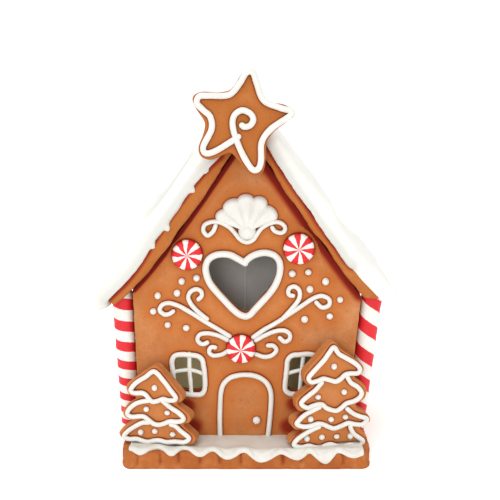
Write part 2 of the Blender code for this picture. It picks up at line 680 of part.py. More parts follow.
def make_trees():
    for side, tree in TREES.items():
        x, y, turn = tree["place"]
        outline = round_corners(tree["corners"], 2.4)
        slab("tree_" + side, outline, 0.0, TREE_THICK, 0.9, "gingerbread", place=(x, y),
             turn=turn)
        for tier, points in enumerate(tree["icing"]):
            closed = tier == 0
            line = smooth_line(points, 2, closed=closed)
            pipe(f"tree_{side}_icing_{tier + 1}", line, TREE_PIPE_WIDTH, TREE_PIPE_HEIGHT,
                 closed=closed, place=(x, y), turn=turn)


def make_canes():
    """Upright canes beside the side walls, at the four corners of the house."""
    angles = [2 * math.pi * (i + 0.5) / CANE_SEGMENTS for i in range(CANE_SEGMENTS)]
    for side in ("left", "right"):
        outward = -1.0 if side == "left" else 1.0
        for end, y in (("front", FRONT_Y + CANE_SET_BACK), ("back", BACK_Y - CANE_SET_BACK)):
            rings = []
            for share, fullness in ((0.0, 0.75), (0.02, 1.0), (0.5, 1.0), (0.98, 1.0), (1.0, 0.7)):
                z = CANE_FOOT_Z + (CANE_TOP_Z[side] - CANE_FOOT_Z) * share
                radius = CANE_RADIUS_FOOT + (CANE_RADIUS_TOP - CANE_RADIUS_FOOT) * share
                middle = wall_side_x(side, z) + outward * (radius + CANE_AWAY)
                ring = []
                for a in angles:
                    x = middle + radius * fullness * math.cos(a)
                    reach = (min(CANE_TOP_Z[side], rake_z(x)) - CANE_FOOT_Z) * share
                    ring.append((x, y + radius * fullness * math.sin(a), CANE_FOOT_Z + reach))
                rings.append(ring)
            points, faces = loft(rings)
            add_piece(f"cane_{side}_{end}", points, faces, "peppermint")


def make_front_icing():
    wall = dict(place=(0.0, FRONT_Y))
    pipe("heart_icing", heart_outline(), HEART_WIDTH, HEART_HEIGHT, closed=True, **wall)
    for side, (left, right, bottom, top) in WINDOWS.items():
        frame = pipe("window_" + side + "_icing", window_outline(side), PIPE_WIDTH,
                     PIPE_HEIGHT, closed=True, **wall)
        bar_x, bar_z = WINDOW_BARS[side]
        reach = PIPE_WIDTH * 0.2
        lines = (("upright", [(bar_x - 0.4, top + reach), (bar_x + 0.5, bottom - reach)]),
                 ("cross", [(left - reach, bar_z), (right + reach, bar_z - 0.6)]))
        for name, line in lines:
            bar = pipe(f"window_{side}_{name}", line, PIPE_WIDTH / PIPE_END * 0.82,
                       PIPE_HEIGHT / PIPE_END * 0.8, rise=GAP + 0.15, **wall)
            as_tool(bar, frame, "UNION")
    middle = (DOOR_LEFT + DOOR_RIGHT) / 2
    half = (DOOR_RIGHT - DOOR_LEFT) / 2
    line = [(DOOR_LEFT, DOOR_FOOT_Z), (DOOR_LEFT, (DOOR_FOOT_Z + DOOR_SPRING_Z) / 2)]
    for i in range(11):
        angle = math.pi * (1 - i / 10)
        line.append((middle + half * math.cos(angle),
                     DOOR_SPRING_Z + (DOOR_TOP - DOOR_SPRING_Z) * math.sin(angle)))
    line += [(DOOR_RIGHT, (DOOR_FOOT_Z + DOOR_SPRING_Z) / 2), (DOOR_RIGHT - 1.2, DOOR_FOOT_Z)]
    pipe("door_icing", line, PIPE_WIDTH, PIPE_HEIGHT, **wall)
    turned("door_knob", KNOB, [(1.6, 0.0), (2.1, 1.0), (1.2, 2.4)], 8, "icing", **wall)
    for i, dot in enumerate(DOTS):
        profile = [(DOT_RADIUS, 0.0), (DOT_RADIUS * 0.8, 1.1), (DOT_RADIUS * 0.3, 1.6)]
        turned(f"dot_{i + 1:02d}", dot, profile, 6, "icing", **wall)


def make_scrolls():
    wall = dict(place=(0.0, FRONT_Y))
    pieces = {name: pipe(name, smooth_line(points, 2), SCROLL_WIDTH, PIPE_HEIGHT, **wall)
              for name, points in SCROLLS.items()}
    for side in ("left", "right"):
        as_tool(pieces[f"scroll_{side}_branch"], pieces[f"scroll_{side}_high"], "UNION")


def make_shell():
    """A fan of five ridged petals that meet in a rounded foot, over a scroll of icing."""
    cx, cz = SHELL_CENTRE
    columns = []
    for low, high, reach in SHELL_PETALS:
        for k in range(4):
            share = k / 4
            ridge = math.sin(math.pi * share)
            angle = low + (high - low) * share
            columns.append((angle, SHELL_VALLEY + (reach - SHELL_VALLEY) * ridge ** 0.5, ridge))
    columns[0] = (SHELL_PETALS[0][0], 15.2, 0.0)
    columns.append((SHELL_PETALS[-1][1], 14.4, 0.0))
    columns += [(165.0, 5.6, 0.2)]
    columns += [(180.0 + 30.0 * k, SHELL_FOOT, 0.6) for k in range(7)]
    columns += [(372.0, 5.6, 0.2)]
    wall = dict(place=(0.0, FRONT_Y))
    rings = []
    for share, height in ((1.0, 0.0), (0.97, 0.55), (0.8, 1.0), (0.45, 0.78), (0.1, 0.66)):
        ring = []
        for angle, reach, ridge in columns:
            rise = height * SHELL_HEIGHT * (0.76 + 0.24 * ridge)
            a = math.radians(angle)
            ring.append((cx + reach * share * math.cos(a), -GAP - rise,
                         cz + reach * share * math.sin(a)))
        rings.append(ring)
    points, faces = loft(rings)
    add_piece("shell", points, faces, "icing", **wall)
    pipe("shell_scroll", smooth_line(SHELL_SCROLL, 1), SCROLL_WIDTH, PIPE_HEIGHT, **wall)


def make_candies():
    for name, (x, z, radius) in CANDIES.items():
        profile = [(radius * 0.9, 0.0), (radius, 1.6), (radius * 0.94, 3.3),
                   (radius * 0.5, CANDY_THICK)]
        turned(name, (x, z), profile, 14, "peppermint", place=(0.0, FRONT_Y))


def make_lining():
    """A thin grey sheet standing inside, behind the openings, folded into a seam at the middle."""
    front = FRONT_Y + LINING_BEHIND
    back = front + LINING_THICK
    seam = LINING_SEAM_X
    plan = [(-LINING_HALF_X, front, LINING_SIDE_TOP), (-LINING_SHOULDER_X, front, LINING_TOP),
            (seam - LINING_SEAM_HALF, front, LINING_TOP), (seam, front - LINING_SEAM_RISE, LINING_TOP),
            (seam + LINING_SEAM_HALF, front, LINING_TOP), (LINING_SHOULDER_X, front, LINING_TOP),
            (LINING_HALF_X, front, LINING_SIDE_TOP)]
    foot = BASE_TOP + GAP
    points, faces = loft([[(x, back, foot), (x, y, foot), (x, y, top), (x, back, top)]
                          for x, y, top in plan])
    add_piece("lining", points, faces, "lining")


def main():
    clear_scene()
    make_base()
    make_apron("base_snow", FRONT_Y, -BASE_HALF_Y, FRONT_LOBES)
    make_apron("base_snow_back", BACK_Y, BASE_HALF_Y, BACK_LOBES)
    make_walls()
    make_lining()
    make_roof()
    make_roof_snow()
    make_canes()
    make_front_icing()
    make_scrolls()
    make_shell()
    make_candies()
    make_star()
    make_trees()


main()
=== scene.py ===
import math
import random

import bpy
from mathutils import Matrix, Vector, kdtree, noise


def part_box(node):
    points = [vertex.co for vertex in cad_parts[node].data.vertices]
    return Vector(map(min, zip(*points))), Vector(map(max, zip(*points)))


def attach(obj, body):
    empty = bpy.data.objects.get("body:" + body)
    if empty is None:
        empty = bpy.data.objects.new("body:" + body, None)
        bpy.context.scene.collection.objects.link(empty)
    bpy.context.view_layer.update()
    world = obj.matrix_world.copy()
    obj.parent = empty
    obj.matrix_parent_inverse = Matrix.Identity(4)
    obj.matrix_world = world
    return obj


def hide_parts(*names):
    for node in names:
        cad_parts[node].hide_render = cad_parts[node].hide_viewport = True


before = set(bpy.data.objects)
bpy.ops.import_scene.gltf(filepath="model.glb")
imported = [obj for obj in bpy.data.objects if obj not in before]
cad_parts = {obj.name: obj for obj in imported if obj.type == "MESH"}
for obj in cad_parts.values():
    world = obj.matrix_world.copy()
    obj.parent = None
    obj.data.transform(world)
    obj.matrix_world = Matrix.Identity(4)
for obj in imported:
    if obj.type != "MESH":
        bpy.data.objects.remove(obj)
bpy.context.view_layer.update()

# Gingerbread house of clay. Sizes in the dictionaries are in millimetres.
# The front wall faces -Y, x runs to the right and z up, as in the CAD frame.
mm = 0.001
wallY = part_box("front_wall")[0].y / mm           # outer face of the front wall
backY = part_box("back_wall")[1].y / mm            # outer face of the back wall
roofY = [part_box("roof_left")[0].y / mm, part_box("roof_left")[1].y / mm]
plinthLow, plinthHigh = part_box("base")
plinthTop = plinthHigh.z / mm


# ---- handling objects ----

def deselectAll():
    bpy.ops.object.select_all(action="DESELECT")


def pick(*pieces):
    deselectAll()
    for piece in pieces:
        piece.select_set(True)
    bpy.context.view_layer.objects.active = pieces[-1]


def joined(name, pieces):
    pick(*pieces)
    if len(pieces) > 1:
        bpy.ops.object.join()
    bpy.context.object.name = name
    return bpy.context.object


def copied(piece, name, shift=(0, 0, 0), turn=0.0, size=1.0):
    """A copy with its own mesh, turned about the upright axis to the wall and moved."""
    twin = piece.copy()
    twin.data = piece.data.copy()
    twin.name = name
    bpy.context.scene.collection.objects.link(twin)
    twin.data.transform(Matrix.Translation(Vector(shift) * mm)
                        @ Matrix.Rotation(math.radians(turn), 4, "Y")
                        @ Matrix.Scale(size, 4))
    return twin


def addModifier(piece, kind, **settings):
    pick(piece)
    modifier = piece.modifiers.new(kind.lower(), kind)
    for key, value in settings.items():
        setattr(modifier, key, value)
    bpy.ops.object.modifier_apply(modifier=modifier.name)


def lumps(piece, size, depth, seed=0.0):
    """Uneven hand-pressed surface: every point moves along its normal."""
    mesh = piece.data
    moved = []
    for vertex in mesh.vertices:
        spot = vertex.co / (size * mm) + Vector((seed, seed * 1.7, -seed))
        moved.append(vertex.co + vertex.normal * noise.noise(spot) * depth * mm)
    for vertex, spot in zip(mesh.vertices, moved):
        vertex.co = spot
    mesh.update()


def softSkin(piece, voxel, rounds=4, factor=0.5):
    """One even skin over everything in the piece, with its edges softened."""
    addModifier(piece, "REMESH", mode="VOXEL", voxel_size=voxel * mm, adaptivity=0.0)
    addModifier(piece, "SMOOTH", factor=factor, iterations=rounds)


def finished(piece, material, slot, *nodes, smooth=True):
    """Final place, finish and body of a piece."""
    pick(piece)
    bpy.ops.object.transform_apply(location=True, rotation=True, scale=True)
    if smooth:
        bpy.ops.object.shade_smooth()
    piece.data.materials.clear()
    piece.data.materials.append(material)
    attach(piece, "root")
    if nodes:
        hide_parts(*nodes)
    return piece


# ---- curves and outlines, as (x, z) in the plane of the wall ----

def smoothPath(points, closed=False, step=0.5):
    """A round curve through the points, cut into stretches of about one step."""
    count = len(points)
    line = []
    for i in range(count if closed else count - 1):
        if closed:
            a, b, c, d = (Vector(points[(i + k) % count]) for k in (-1, 0, 1, 2))
        else:
            a, b, c, d = (Vector(points[min(max(i + k, 0), count - 1)]) for k in (-1, 0, 1, 2))
        parts = max(2, round((c - b).length / step))
        for k in range(parts):
            t = k / parts
            line.append(0.5 * (2 * b + (c - a) * t + (2 * a - 5 * b + 4 * c - d) * t * t
                               + (3 * b - a - 3 * c + d) * t ** 3))
    if not closed:
        line.append(Vector(points[-1]))
    return line


def bezierPath(controls, parts):
    a, b, c, d = (Vector(p) for p in controls)
    line = []
    for k in range(parts + 1):
        t = k / parts
        line.append(a * (1 - t) ** 3 + 3 * b * t * (1 - t) ** 2 + 3 * c * t * t * (1 - t)
                    + d * t ** 3)
    return line


def roundedCorners(corners, cut, parts=5):
    """Each corner becomes an arc-like curve; cut is the length it takes off both sides."""
    count = len(corners)
    cuts = cut if isinstance(cut, list) else [cut] * count
    outline = []
    for i, corner in enumerate(corners):
        here = Vector(corner)
        ends = []
        for other in (corners[i - 1], corners[(i + 1) % count]):
            side = Vector(other) - here
            ends.append(here + side.normalized() * min(cuts[i], side.length * 0.48))
        for k in range(parts + 1):
            t = k / parts
            outline.append(ends[0] * (1 - t) ** 2 + 2 * here * t * (1 - t) + ends[1] * t * t)
    return outline


def evenPath(line, step, closed=False):
    """The same line with points at even distances."""
    points = [Vector(p) for p in line] + ([Vector(line[0])] if closed else [])
    lengths = [0.0]
    for a, b in zip(points, points[1:]):
        lengths.append(lengths[-1] + (b - a).length)
    count = max(3, round(lengths[-1] / step))
    even, at = [], 0
    for k in range(count if closed else count + 1):
        want = lengths[-1] * k / count
        while at < len(points) - 2 and lengths[at + 1] < want:
            at += 1
        span = lengths[at + 1] - lengths[at]
        share = (want - lengths[at]) / span if span > 1e-9 else 0.0
        even.append(points[at].lerp(points[at + 1], min(max(share, 0.0), 1.0)))
    return even


def inwards(outline, distance):
    """The outline moved inwards along its normals."""
    area = sum(a.x * b.y - b.x * a.y for a, b in zip(outline, outline[1:] + outline[:1]))
    side = 1.0 if area > 0 else -1.0
    count = len(outline)
    moved = []
    for i, point in enumerate(outline):
        along = outline[(i + 1) % count] - outline[i - 1]
        normal = Vector((-along.y, along.x)).normalized() * side
        moved.append(point + normal * distance)
    return moved


# ---- ways of making clay shapes ----

def cutSlab(name, outline, front, back):
    """A flat cut-out: a filled ring of points, pulled back into a slab."""
    deselectAll()
    bpy.ops.mesh.primitive_circle_add(vertices=len(outline), radius=0.01, fill_type="NGON")
    slab = bpy.context.object
    slab.name = name
    for vertex, point in zip(slab.data.vertices, outline):
        vertex.co = Vector((point[0], front, point[1])) * mm
    bpy.ops.object.mode_set(mode="EDIT")
    bpy.ops.mesh.select_all(action="SELECT")
    bpy.ops.mesh.extrude_region_move(
        TRANSFORM_OT_translate={"value": (0, (back - front) * mm, 0)})
    bpy.ops.mesh.select_all(action="SELECT")
    bpy.ops.mesh.normals_make_consistent(inside=False)
    bpy.ops.object.mode_set(mode="OBJECT")
    return slab


def cutOut(slab, outline, front, back):
    """A hole through a slab."""
    cutter = cutSlab("cutter", outline, front, back)
    addModifier(slab, "BOOLEAN", operation="DIFFERENCE", solver="EXACT", object=cutter)
    bpy.data.objects.remove(cutter)


def roundedEdges(piece, width, segments=3, angle=40):
    addModifier(piece, "BEVEL", width=width * mm, segments=segments, limit_method="ANGLE",
                angle_limit=math.radians(angle), use_clamp_overlap=True)


def skinOver(name, around, along, spot):
    """A closed skin: a grid is wrapped round a section (u) and along the piece (v)."""
    deselectAll()
    bpy.ops.mesh.primitive_grid_add(x_subdivisions=around, y_subdivisions=along, size=1)
    piece = bpy.context.object
    piece.name = name
    for vertex in piece.data.vertices:
        u, v = vertex.co.x + 0.5, vertex.co.y + 0.5
        vertex.co = Vector(spot(0.0 if u > 0.9999 else u, v)) * mm
    bpy.ops.object.mode_set(mode="EDIT")
    bpy.ops.mesh.select_all(action="SELECT")
    bpy.ops.mesh.remove_doubles(threshold=1e-7)
    bpy.ops.mesh.fill_holes(sides=0)
    bpy.ops.mesh.select_all(action="SELECT")
    bpy.ops.mesh.normals_make_consistent(inside=False)
    bpy.ops.object.mode_set(mode="OBJECT")
    return piece


pressed = []                                  # what has been laid on the piece in hand; the clay round it is pressed in and gets painted shade


def cord(name, points, width, surface, closed=False, flat=0.9, sunk=0.18, seed=1.0,
         smooth=True, uneven=0.05):
    """A rolled cord pressed on a surface that faces the front; its ends are round."""
    radius = width / 2
    line = smoothPath(points, closed) if smooth else [Vector(p) for p in points]
    line = evenPath(line, 0.45, closed)
    pressed.append((line + line[:1] if closed else line, radius * 0.86, 0.75))
    deselectAll()
    bpy.ops.curve.primitive_nurbs_path_add()
    piece = bpy.context.object
    piece.name = name
    curve = piece.data
    curve.splines.clear()
    spline = curve.splines.new("POLY")
    stops = []
    if not closed:
        first, last = line[0], line[-1]
        out1 = (line[0] - line[1]).normalized()
        out2 = (line[-1] - line[-2]).normalized()
        for share in (1.0, 0.94, 0.8, 0.55, 0.28):
            stops.append((first + out1 * radius * share, math.sqrt(1.02 - share ** 2)))
        stops += [(p, 1.0) for p in line]
        for share in (0.28, 0.55, 0.8, 0.94, 1.0):
            stops.append((last + out2 * radius * share, math.sqrt(1.02 - share ** 2)))
    else:
        stops = [(p, 1.0) for p in line]
    spline.points.add(len(stops) - 1)
    lift = radius * flat * (1.0 - sunk)
    for i, (point, size) in enumerate(stops):
        swell = 1.0 + uneven * noise.noise(Vector((i * 0.45 / 5.0, seed * 7.3, seed)))
        spline.points[i].co = (point.x * mm, 0.0, point.y * mm, 1.0)
        spline.points[i].radius = size * swell
    spline.use_cyclic_u = closed
    curve.dimensions = "3D"
    curve.twist_mode = "MINIMUM"
    curve.bevel_depth = radius * mm
    curve.bevel_resolution = 3
    curve.use_fill_caps = True
    bpy.ops.object.convert(target="MESH")
    piece = bpy.context.object
    for vertex in piece.data.vertices:
        vertex.co.y = vertex.co.y * flat + (surface - lift) * mm
    bpy.ops.object.mode_set(mode="EDIT")
    bpy.ops.mesh.select_all(action="SELECT")
    bpy.ops.mesh.remove_doubles(threshold=1e-7)
    bpy.ops.mesh.normals_make_consistent(inside=False)
    bpy.ops.object.mode_set(mode="OBJECT")
    return piece


def drop(name, x, z, width, height, surface, tall=1.0, dimple=0.12):
    """A small pressed ball of icing with a slight dimple."""
    pressed.append((ringOf(x, z, width / 2 - 0.4), 0.3, 0.6))
    deselectAll()
    bpy.ops.mesh.primitive_uv_sphere_add(segments=24, ring_count=16, radius=1)
    piece = bpy.context.object
    piece.name = name
    for vertex in piece.data.vertices:
        a, b, c = vertex.co                       # c becomes the way out of the wall
        out = c * (1.0 - dimple * math.exp(-(a * a + b * b) / 0.08)) if c > 0 else c * 0.4
        vertex.co = (x * mm + a * width / 2 * mm, surface * mm - out * height * mm,
                     z * mm + b * width / 2 * tall * mm)
    bpy.ops.object.mode_set(mode="EDIT")
    bpy.ops.mesh.select_all(action="SELECT")
    bpy.ops.mesh.normals_make_consistent(inside=False)
    bpy.ops.object.mode_set(mode="OBJECT")
    return piece


def ringOf(x, z, radius):
    return [Vector((x + radius * math.cos(math.radians(5 * k)),
                    z + radius * math.sin(math.radians(5 * k)))) for k in range(72)]


def pressedIn(piece, edges, surface, depth=0.22):
    """Clay gives way along the icing; how close it is, is kept for painted shade in the colour.
    An edge is (line, half width of what lies on it, reach of the painted shade, added darkness)."""
    spots = []
    for line, half, reach, *deep in edges:
        dense = evenPath(line, 0.3)
        spots += [(point, half, reach, deep[0] if deep else 0.0) for point in dense]
    tree = kdtree.KDTree(len(spots))
    for k, spot in enumerate(spots):
        tree.insert((spot[0].x, spot[0].y, 0.0), k)
    tree.balance()
    shadeMark = piece.data.attributes.new("crease", "FLOAT", "POINT")
    around = piece.data.attributes.new("nearShade", "FLOAT", "POINT")
    for vertex in piece.data.vertices:
        x, y, z = vertex.co / mm
        amount, close, extraShade = 0.0, 0.0, 0.0
        if y < surface + 2.2:
            for _, k, far in tree.find_n((x, z, 0.0), 3):
                _, half, reach, deep = spots[k]
                share = 1.0 - max(far - half, 0.0) / reach
                amount = max(amount, share)
                extraShade = max(extraShade, deep)
                close = max(close, 1.0 - max(far - half, 0.0) / 7.0)
        amount = max(amount, 0.0)
        amount = amount * amount * (3 - 2 * amount)
        shadeMark.data[vertex.index].value = amount * (1.0 + extraShade)
        around.data[vertex.index].value = close
        vertex.co.y += amount * depth * mm


# ---- finishes ----

def newMaterial(name, roughness):
    material = bpy.data.materials.new(name)
    material.use_nodes = True
    nodes, links = material.node_tree.nodes, material.node_tree.links
    shader = nodes["Principled BSDF"]
    shader.inputs["Roughness"].default_value = roughness
    shader.inputs["Metallic"].default_value = 0.0
    shader.inputs["Specular IOR Level"].default_value = 0.35
    return material, nodes, links, shader


def noiseNode(nodes, links, coords, size, detail=3.0, rough=0.55):
    node = nodes.new("ShaderNodeTexNoise")
    node.inputs["Scale"].default_value = 1.0 / (size * mm)
    node.inputs["Detail"].default_value = detail
    node.inputs["Roughness"].default_value = rough
    links.new(coords, node.inputs["Vector"])
    return node.outputs["Fac"]


def rampNode(nodes, links, factor, stops):
    node = nodes.new("ShaderNodeValToRGB")
    ramp = node.color_ramp
    while len(ramp.elements) < len(stops):
        ramp.elements.new(0.5)
    for element, (position, colour) in zip(ramp.elements, stops):
        element.position = position
        element.color = (*colour, 1.0)
    links.new(factor, node.inputs["Fac"])
    return node.outputs["Color"]


def mixNode(nodes, links, factor, first, second, blend="MIX"):
    node = nodes.new("ShaderNodeMix")
    node.data_type = "RGBA"
    node.blend_type = blend
    for key, value in (("Factor", factor), ("A", first), ("B", second)):
        socket = [s for s in node.inputs if s.name == key and s.enabled][0]
        if isinstance(value, (float, int)):
            socket.default_value = value
        elif isinstance(value, tuple):
            socket.default_value = (*value, 1.0)
        else:
            links.new(value, socket)
    return [s for s in node.outputs if s.enabled][0]


def mathNode(nodes, links, operation, first, second=None):
    node = nodes.new("ShaderNodeMath")
    node.operation = operation
    for socket, value in zip(node.inputs, (first, second)):
        if value is None:
            continue
        if isinstance(value, (float, int)):
            socket.default_value = value
        else:
            links.new(value, socket)
    return node.outputs[0]


def bumpNode(nodes, links, height, distance, strength=1.0, under=None):
    node = nodes.new("ShaderNodeBump")
    node.inputs["Distance"].default_value = distance * mm
    node.inputs["Strength"].default_value = strength
    links.new(height, node.inputs["Height"])
    if under is not None:
        links.new(under, node.inputs["Normal"])
    return node.outputs["Normal"]


def clayMaterial(name, colour, deep, pale, roughness, patch=14.0, grain=0.55, grainDepth=0.05,
                 pits=0.0, speck=0.55, nearShade=None, crease=None):
    """Matt modelling clay: soft patches of tone, a fine grain and, if asked for, small pits."""
    material, nodes, links, shader = newMaterial(name, roughness)
    coords = nodes.new("ShaderNodeTexCoord").outputs["Object"]
    patches = noiseNode(nodes, links, coords, patch, 4.0, 0.6)
    tone = rampNode(nodes, links, patches, [(0.30, deep), (0.52, colour), (0.74, pale)])
    fine = noiseNode(nodes, links, coords, grain * 2.4, 4.0, 0.7)
    speckle = rampNode(nodes, links, fine, [(0.30, (0.80, 0.78, 0.74)), (0.62, (1.0, 1.0, 1.0))])
    tone = mixNode(nodes, links, speck, tone, speckle, "MULTIPLY")
    grainFactor = noiseNode(nodes, links, coords, grain, 2.0, 0.6)
    normal = bumpNode(nodes, links, grainFactor, grainDepth)
    normal = bumpNode(nodes, links, fine, grainDepth * 2.2, 1.0, normal)
    # the pits are bumped and also darkened in colour, a painted shade
    if pits:
        cells = nodes.new("ShaderNodeTexVoronoi")
        cells.inputs["Scale"].default_value = 1.0 / (pits * mm)
        cells.inputs["Randomness"].default_value = 1.0
        links.new(coords, cells.inputs["Vector"])
        spot = rampNode(nodes, links, cells.outputs["Distance"],
                        [(0.05, (0.0, 0.0, 0.0)), (0.13, (1.0, 1.0, 1.0))])
        tone = mixNode(nodes, links, 0.35, tone, spot, "MULTIPLY")
        normal = bumpNode(nodes, links, spot, 0.12, 1.0, normal)
    # painted shade: the clay turns darker and redder within a few millimetres of the icing and the other
    # shaded lines
    if nearShade:
        around = nodes.new("ShaderNodeAttribute")
        around.attribute_name = "nearShade"
        tone = mixNode(nodes, links, around.outputs["Fac"], tone, nearShade)
    # painted shade: dark red in the creases round the icing, under the roof's edge, behind each notch of the
    # trees and along the snow's edge on the slabs; grey on the snow
    if crease:
        shadeMark = nodes.new("ShaderNodeAttribute")
        shadeMark.attribute_name = "crease"
        tone = mixNode(nodes, links, mathNode(
            nodes, links, "MULTIPLY", shadeMark.outputs["Fac"], 0.92), tone, crease)
        # past 1 the painted shade turns darker still
        darkestShade = mathNode(nodes, links, "SUBTRACT", shadeMark.outputs["Fac"], 1.0)
        tone = mixNode(nodes, links, darkestShade, tone, (0.125, 0.003, 0.001))
    links.new(tone, shader.inputs["Base Color"])
    links.new(normal, shader.inputs["Normal"])
    return material


# The close-by tint and the crease colours are painted shade: clay darker and redder round the icing, dark
# red in its creases, under the roof's edge, behind each notch of the trees and along the snow's edge on the
# slabs; on the snow, grey close to the slabs and along a crease behind the front roll.
clay = {
    "wall": dict(colour=(0.500, 0.205, 0.073), deep=(0.450, 0.165, 0.050),
                 pale=(0.555, 0.262, 0.120), roughness=0.76, pits=3.2,
                 nearShade=(0.475, 0.150, 0.030), crease=(0.270, 0.016, 0.004)),
    "cookie": dict(colour=(0.435, 0.160, 0.040), deep=(0.385, 0.128, 0.029),
                   pale=(0.490, 0.210, 0.076), roughness=0.76, pits=3.4,
                   nearShade=(0.415, 0.136, 0.027), crease=(0.260, 0.014, 0.004)),
    "tree": dict(colour=(0.490, 0.205, 0.075), deep=(0.440, 0.165, 0.052),
                 pale=(0.530, 0.250, 0.115), roughness=0.76, pits=3.4,
                 nearShade=(0.480, 0.172, 0.046), crease=(0.260, 0.014, 0.004)),
    "icing": dict(colour=(0.675, 0.664, 0.622), deep=(0.640, 0.627, 0.580),
                  pale=(0.700, 0.694, 0.655), roughness=0.5, patch=6.0, grainDepth=0.012,
                  speck=0.12),
    "snow": dict(colour=(0.755, 0.750, 0.712), deep=(0.730, 0.722, 0.676),
                 pale=(0.775, 0.772, 0.742), roughness=0.6, patch=12.0, grainDepth=0.02,
                 speck=0.15, crease=(0.560, 0.560, 0.520)),
    "apron": dict(colour=(0.645, 0.628, 0.580), deep=(0.610, 0.588, 0.532),
                  pale=(0.675, 0.662, 0.622), roughness=0.6, patch=9.0, grainDepth=0.02,
                  speck=0.15),
}
wallClay = clayMaterial("gingerbreadClay", **clay["wall"])
cookieClay = clayMaterial("cookieClay", **clay["cookie"])
treeClay = clayMaterial("treeClay", **clay["tree"])
apronClay = clayMaterial("apronClay", **clay["apron"])
icingClay = clayMaterial("icingClay", **clay["icing"])
snowClay = clayMaterial("snowClay", **clay["snow"])
print("finishes for gingerbread, icing and snow")


# ---- plinth of bricks ----

plinth = {
    "depth": 9.0, "round": 1.9, "gap": 0.3, "voxel": 0.66, "core": 1.9,
    "joints": [-54.3, -42.9, -33.6, -22.9, -13.2, -2.5, 8.7, 18.5, 27.4, 37.9, 48.6],
    # dark is painted shade, laid in the joints between the bricks
    "seed": 11, "dark": (0.190, 0.016, 0.004), "foot": 2.4,
}


def makePlinth():
    halfX, halfY = plinthHigh.x / mm, plinthHigh.y / mm
    chance = random.Random(plinth["seed"])
    deselectAll()
    bpy.ops.mesh.primitive_cube_add(size=1)
    brick = bpy.context.object
    brick.scale = (1, plinth["depth"] * mm, plinthTop * mm)
    bpy.ops.object.transform_apply(location=False, rotation=False, scale=True)

    def layBrick(x, y, length, turn, index):
        twin = brick.copy()
        twin.data = brick.data.copy()
        bpy.context.scene.collection.objects.link(twin)
        twin.data.transform(Matrix.Diagonal((length * mm, 1, 1, 1)))
        roundedEdges(twin, plinth["round"], 4)
        tilt = Matrix.Rotation(math.radians(chance.uniform(-1.6, 1.6)), 4, "Y")
        twin.data.transform(
            Matrix.Translation(Vector((x, y, plinthTop / 2)) * mm)
            @ Matrix.Rotation(math.radians(turn + chance.uniform(-1.5, 1.5)), 4, "Z") @ tilt)
        twin.name = f"brick{index}"
        return twin

    bricks = []
    edgeY = halfY - plinth["depth"] / 2
    edgeX = halfX - plinth["depth"] / 2
    joints = plinth["joints"]
    spans = list(zip([-halfX + 1.0] + joints, joints + [halfX - 1.0]))
    for low, high in spans:
        length = high - low - plinth["gap"]
        bricks.append(layBrick((low + high) / 2, -edgeY, length, 0, len(bricks)))
    count = 12
    for k in range(count):
        span = 2 * (halfX - 1.0) / count
        middle = -halfX + 1.0 + span * (k + 0.5)
        bricks.append(layBrick(middle, edgeY, span - plinth["gap"], 180, len(bricks)))
    count = 10
    for side in (-1, 1):
        for k in range(count):
            span = 2 * (halfY - plinth["depth"] + 1.0) / count
            middle = -halfY + plinth["depth"] - 1.0 + span * (k + 0.5)
            bricks.append(layBrick(side * edgeX, middle, span - plinth["gap"],
                                   90 * side, len(bricks)))
    bpy.data.objects.remove(brick)
    deselectAll()
    bpy.ops.mesh.primitive_cube_add(size=1, location=(0, 0, (plinthTop - 0.5) / 2 * mm))
    slab = bpy.context.object
    inner = 2 * plinth["core"]
    slab.scale = ((2 * halfX - inner) * mm, (2 * halfY - inner) * mm, (plinthTop - 0.5) * mm)
    bpy.ops.object.transform_apply(location=True, rotation=False, scale=True)
    deselectAll()
    bpy.ops.mesh.primitive_cube_add(size=1, location=(0, 0, plinth["foot"] / 2 * mm))
    ridge = bpy.context.object                              # the bricks run together at the foot
    ridge.scale = ((2 * halfX - 0.9) * mm, (2 * halfY - 0.9) * mm, plinth["foot"] * mm)
    bpy.ops.object.transform_apply(location=True, rotation=False, scale=True)
    piece = joined("plinth", bricks + [slab, ridge])
    softSkin(piece, plinth["voxel"], 2)
    # round the four corners in plan, and level the foot
    corner = 6.0
    for vertex in piece.data.vertices:
        x, y, z = vertex.co / mm
        overX = abs(x) - (halfX - corner)
        overY = abs(y) - (halfY - corner)
        if overX > 0 and overY > 0:
            far = math.hypot(overX, overY)
            reach = max(overX, overY)
            shrink = reach / far
            x = math.copysign(halfX - corner + overX * shrink, x)
            y = math.copysign(halfY - corner + overY * shrink, y)
        vertex.co = Vector((x, y, max(z, 0.0))) * mm
    lumps(piece, 5.0, 0.35, 2.0)
    lumps(piece, 1.6, 0.12, 3.0)
    for vertex in piece.data.vertices:
        if vertex.co.z < 0.5 * mm:
            vertex.co.z = 0.0
    return piece


def plinthMaterial():
    """The walls' clay, with painted shade making it darker and redder where the joints between the bricks
    run in.
    """
    material, nodes, links, shader = newMaterial("brickClay", 0.74)
    coords = nodes.new("ShaderNodeTexCoord").outputs["Object"]
    patches = noiseNode(nodes, links, coords, 9.0, 4.0, 0.65)
    tone = rampNode(nodes, links, patches, [(0.3, (0.350, 0.098, 0.020)),
                                            (0.55, (0.410, 0.135, 0.032)),
                                            (0.75, (0.490, 0.205, 0.080))])
    jointShadeNode = nodes.new("ShaderNodeAttribute")
    jointShadeNode.attribute_name = "paintedJointShade"
    tone = mixNode(nodes, links, jointShadeNode.outputs["Fac"], tone, plinth["dark"])
    fine = noiseNode(nodes, links, coords, 0.8, 4.0, 0.7)
    normal = bumpNode(nodes, links, fine, 0.16)
    links.new(tone, shader.inputs["Base Color"])
    links.new(normal, shader.inputs["Normal"])
    return material


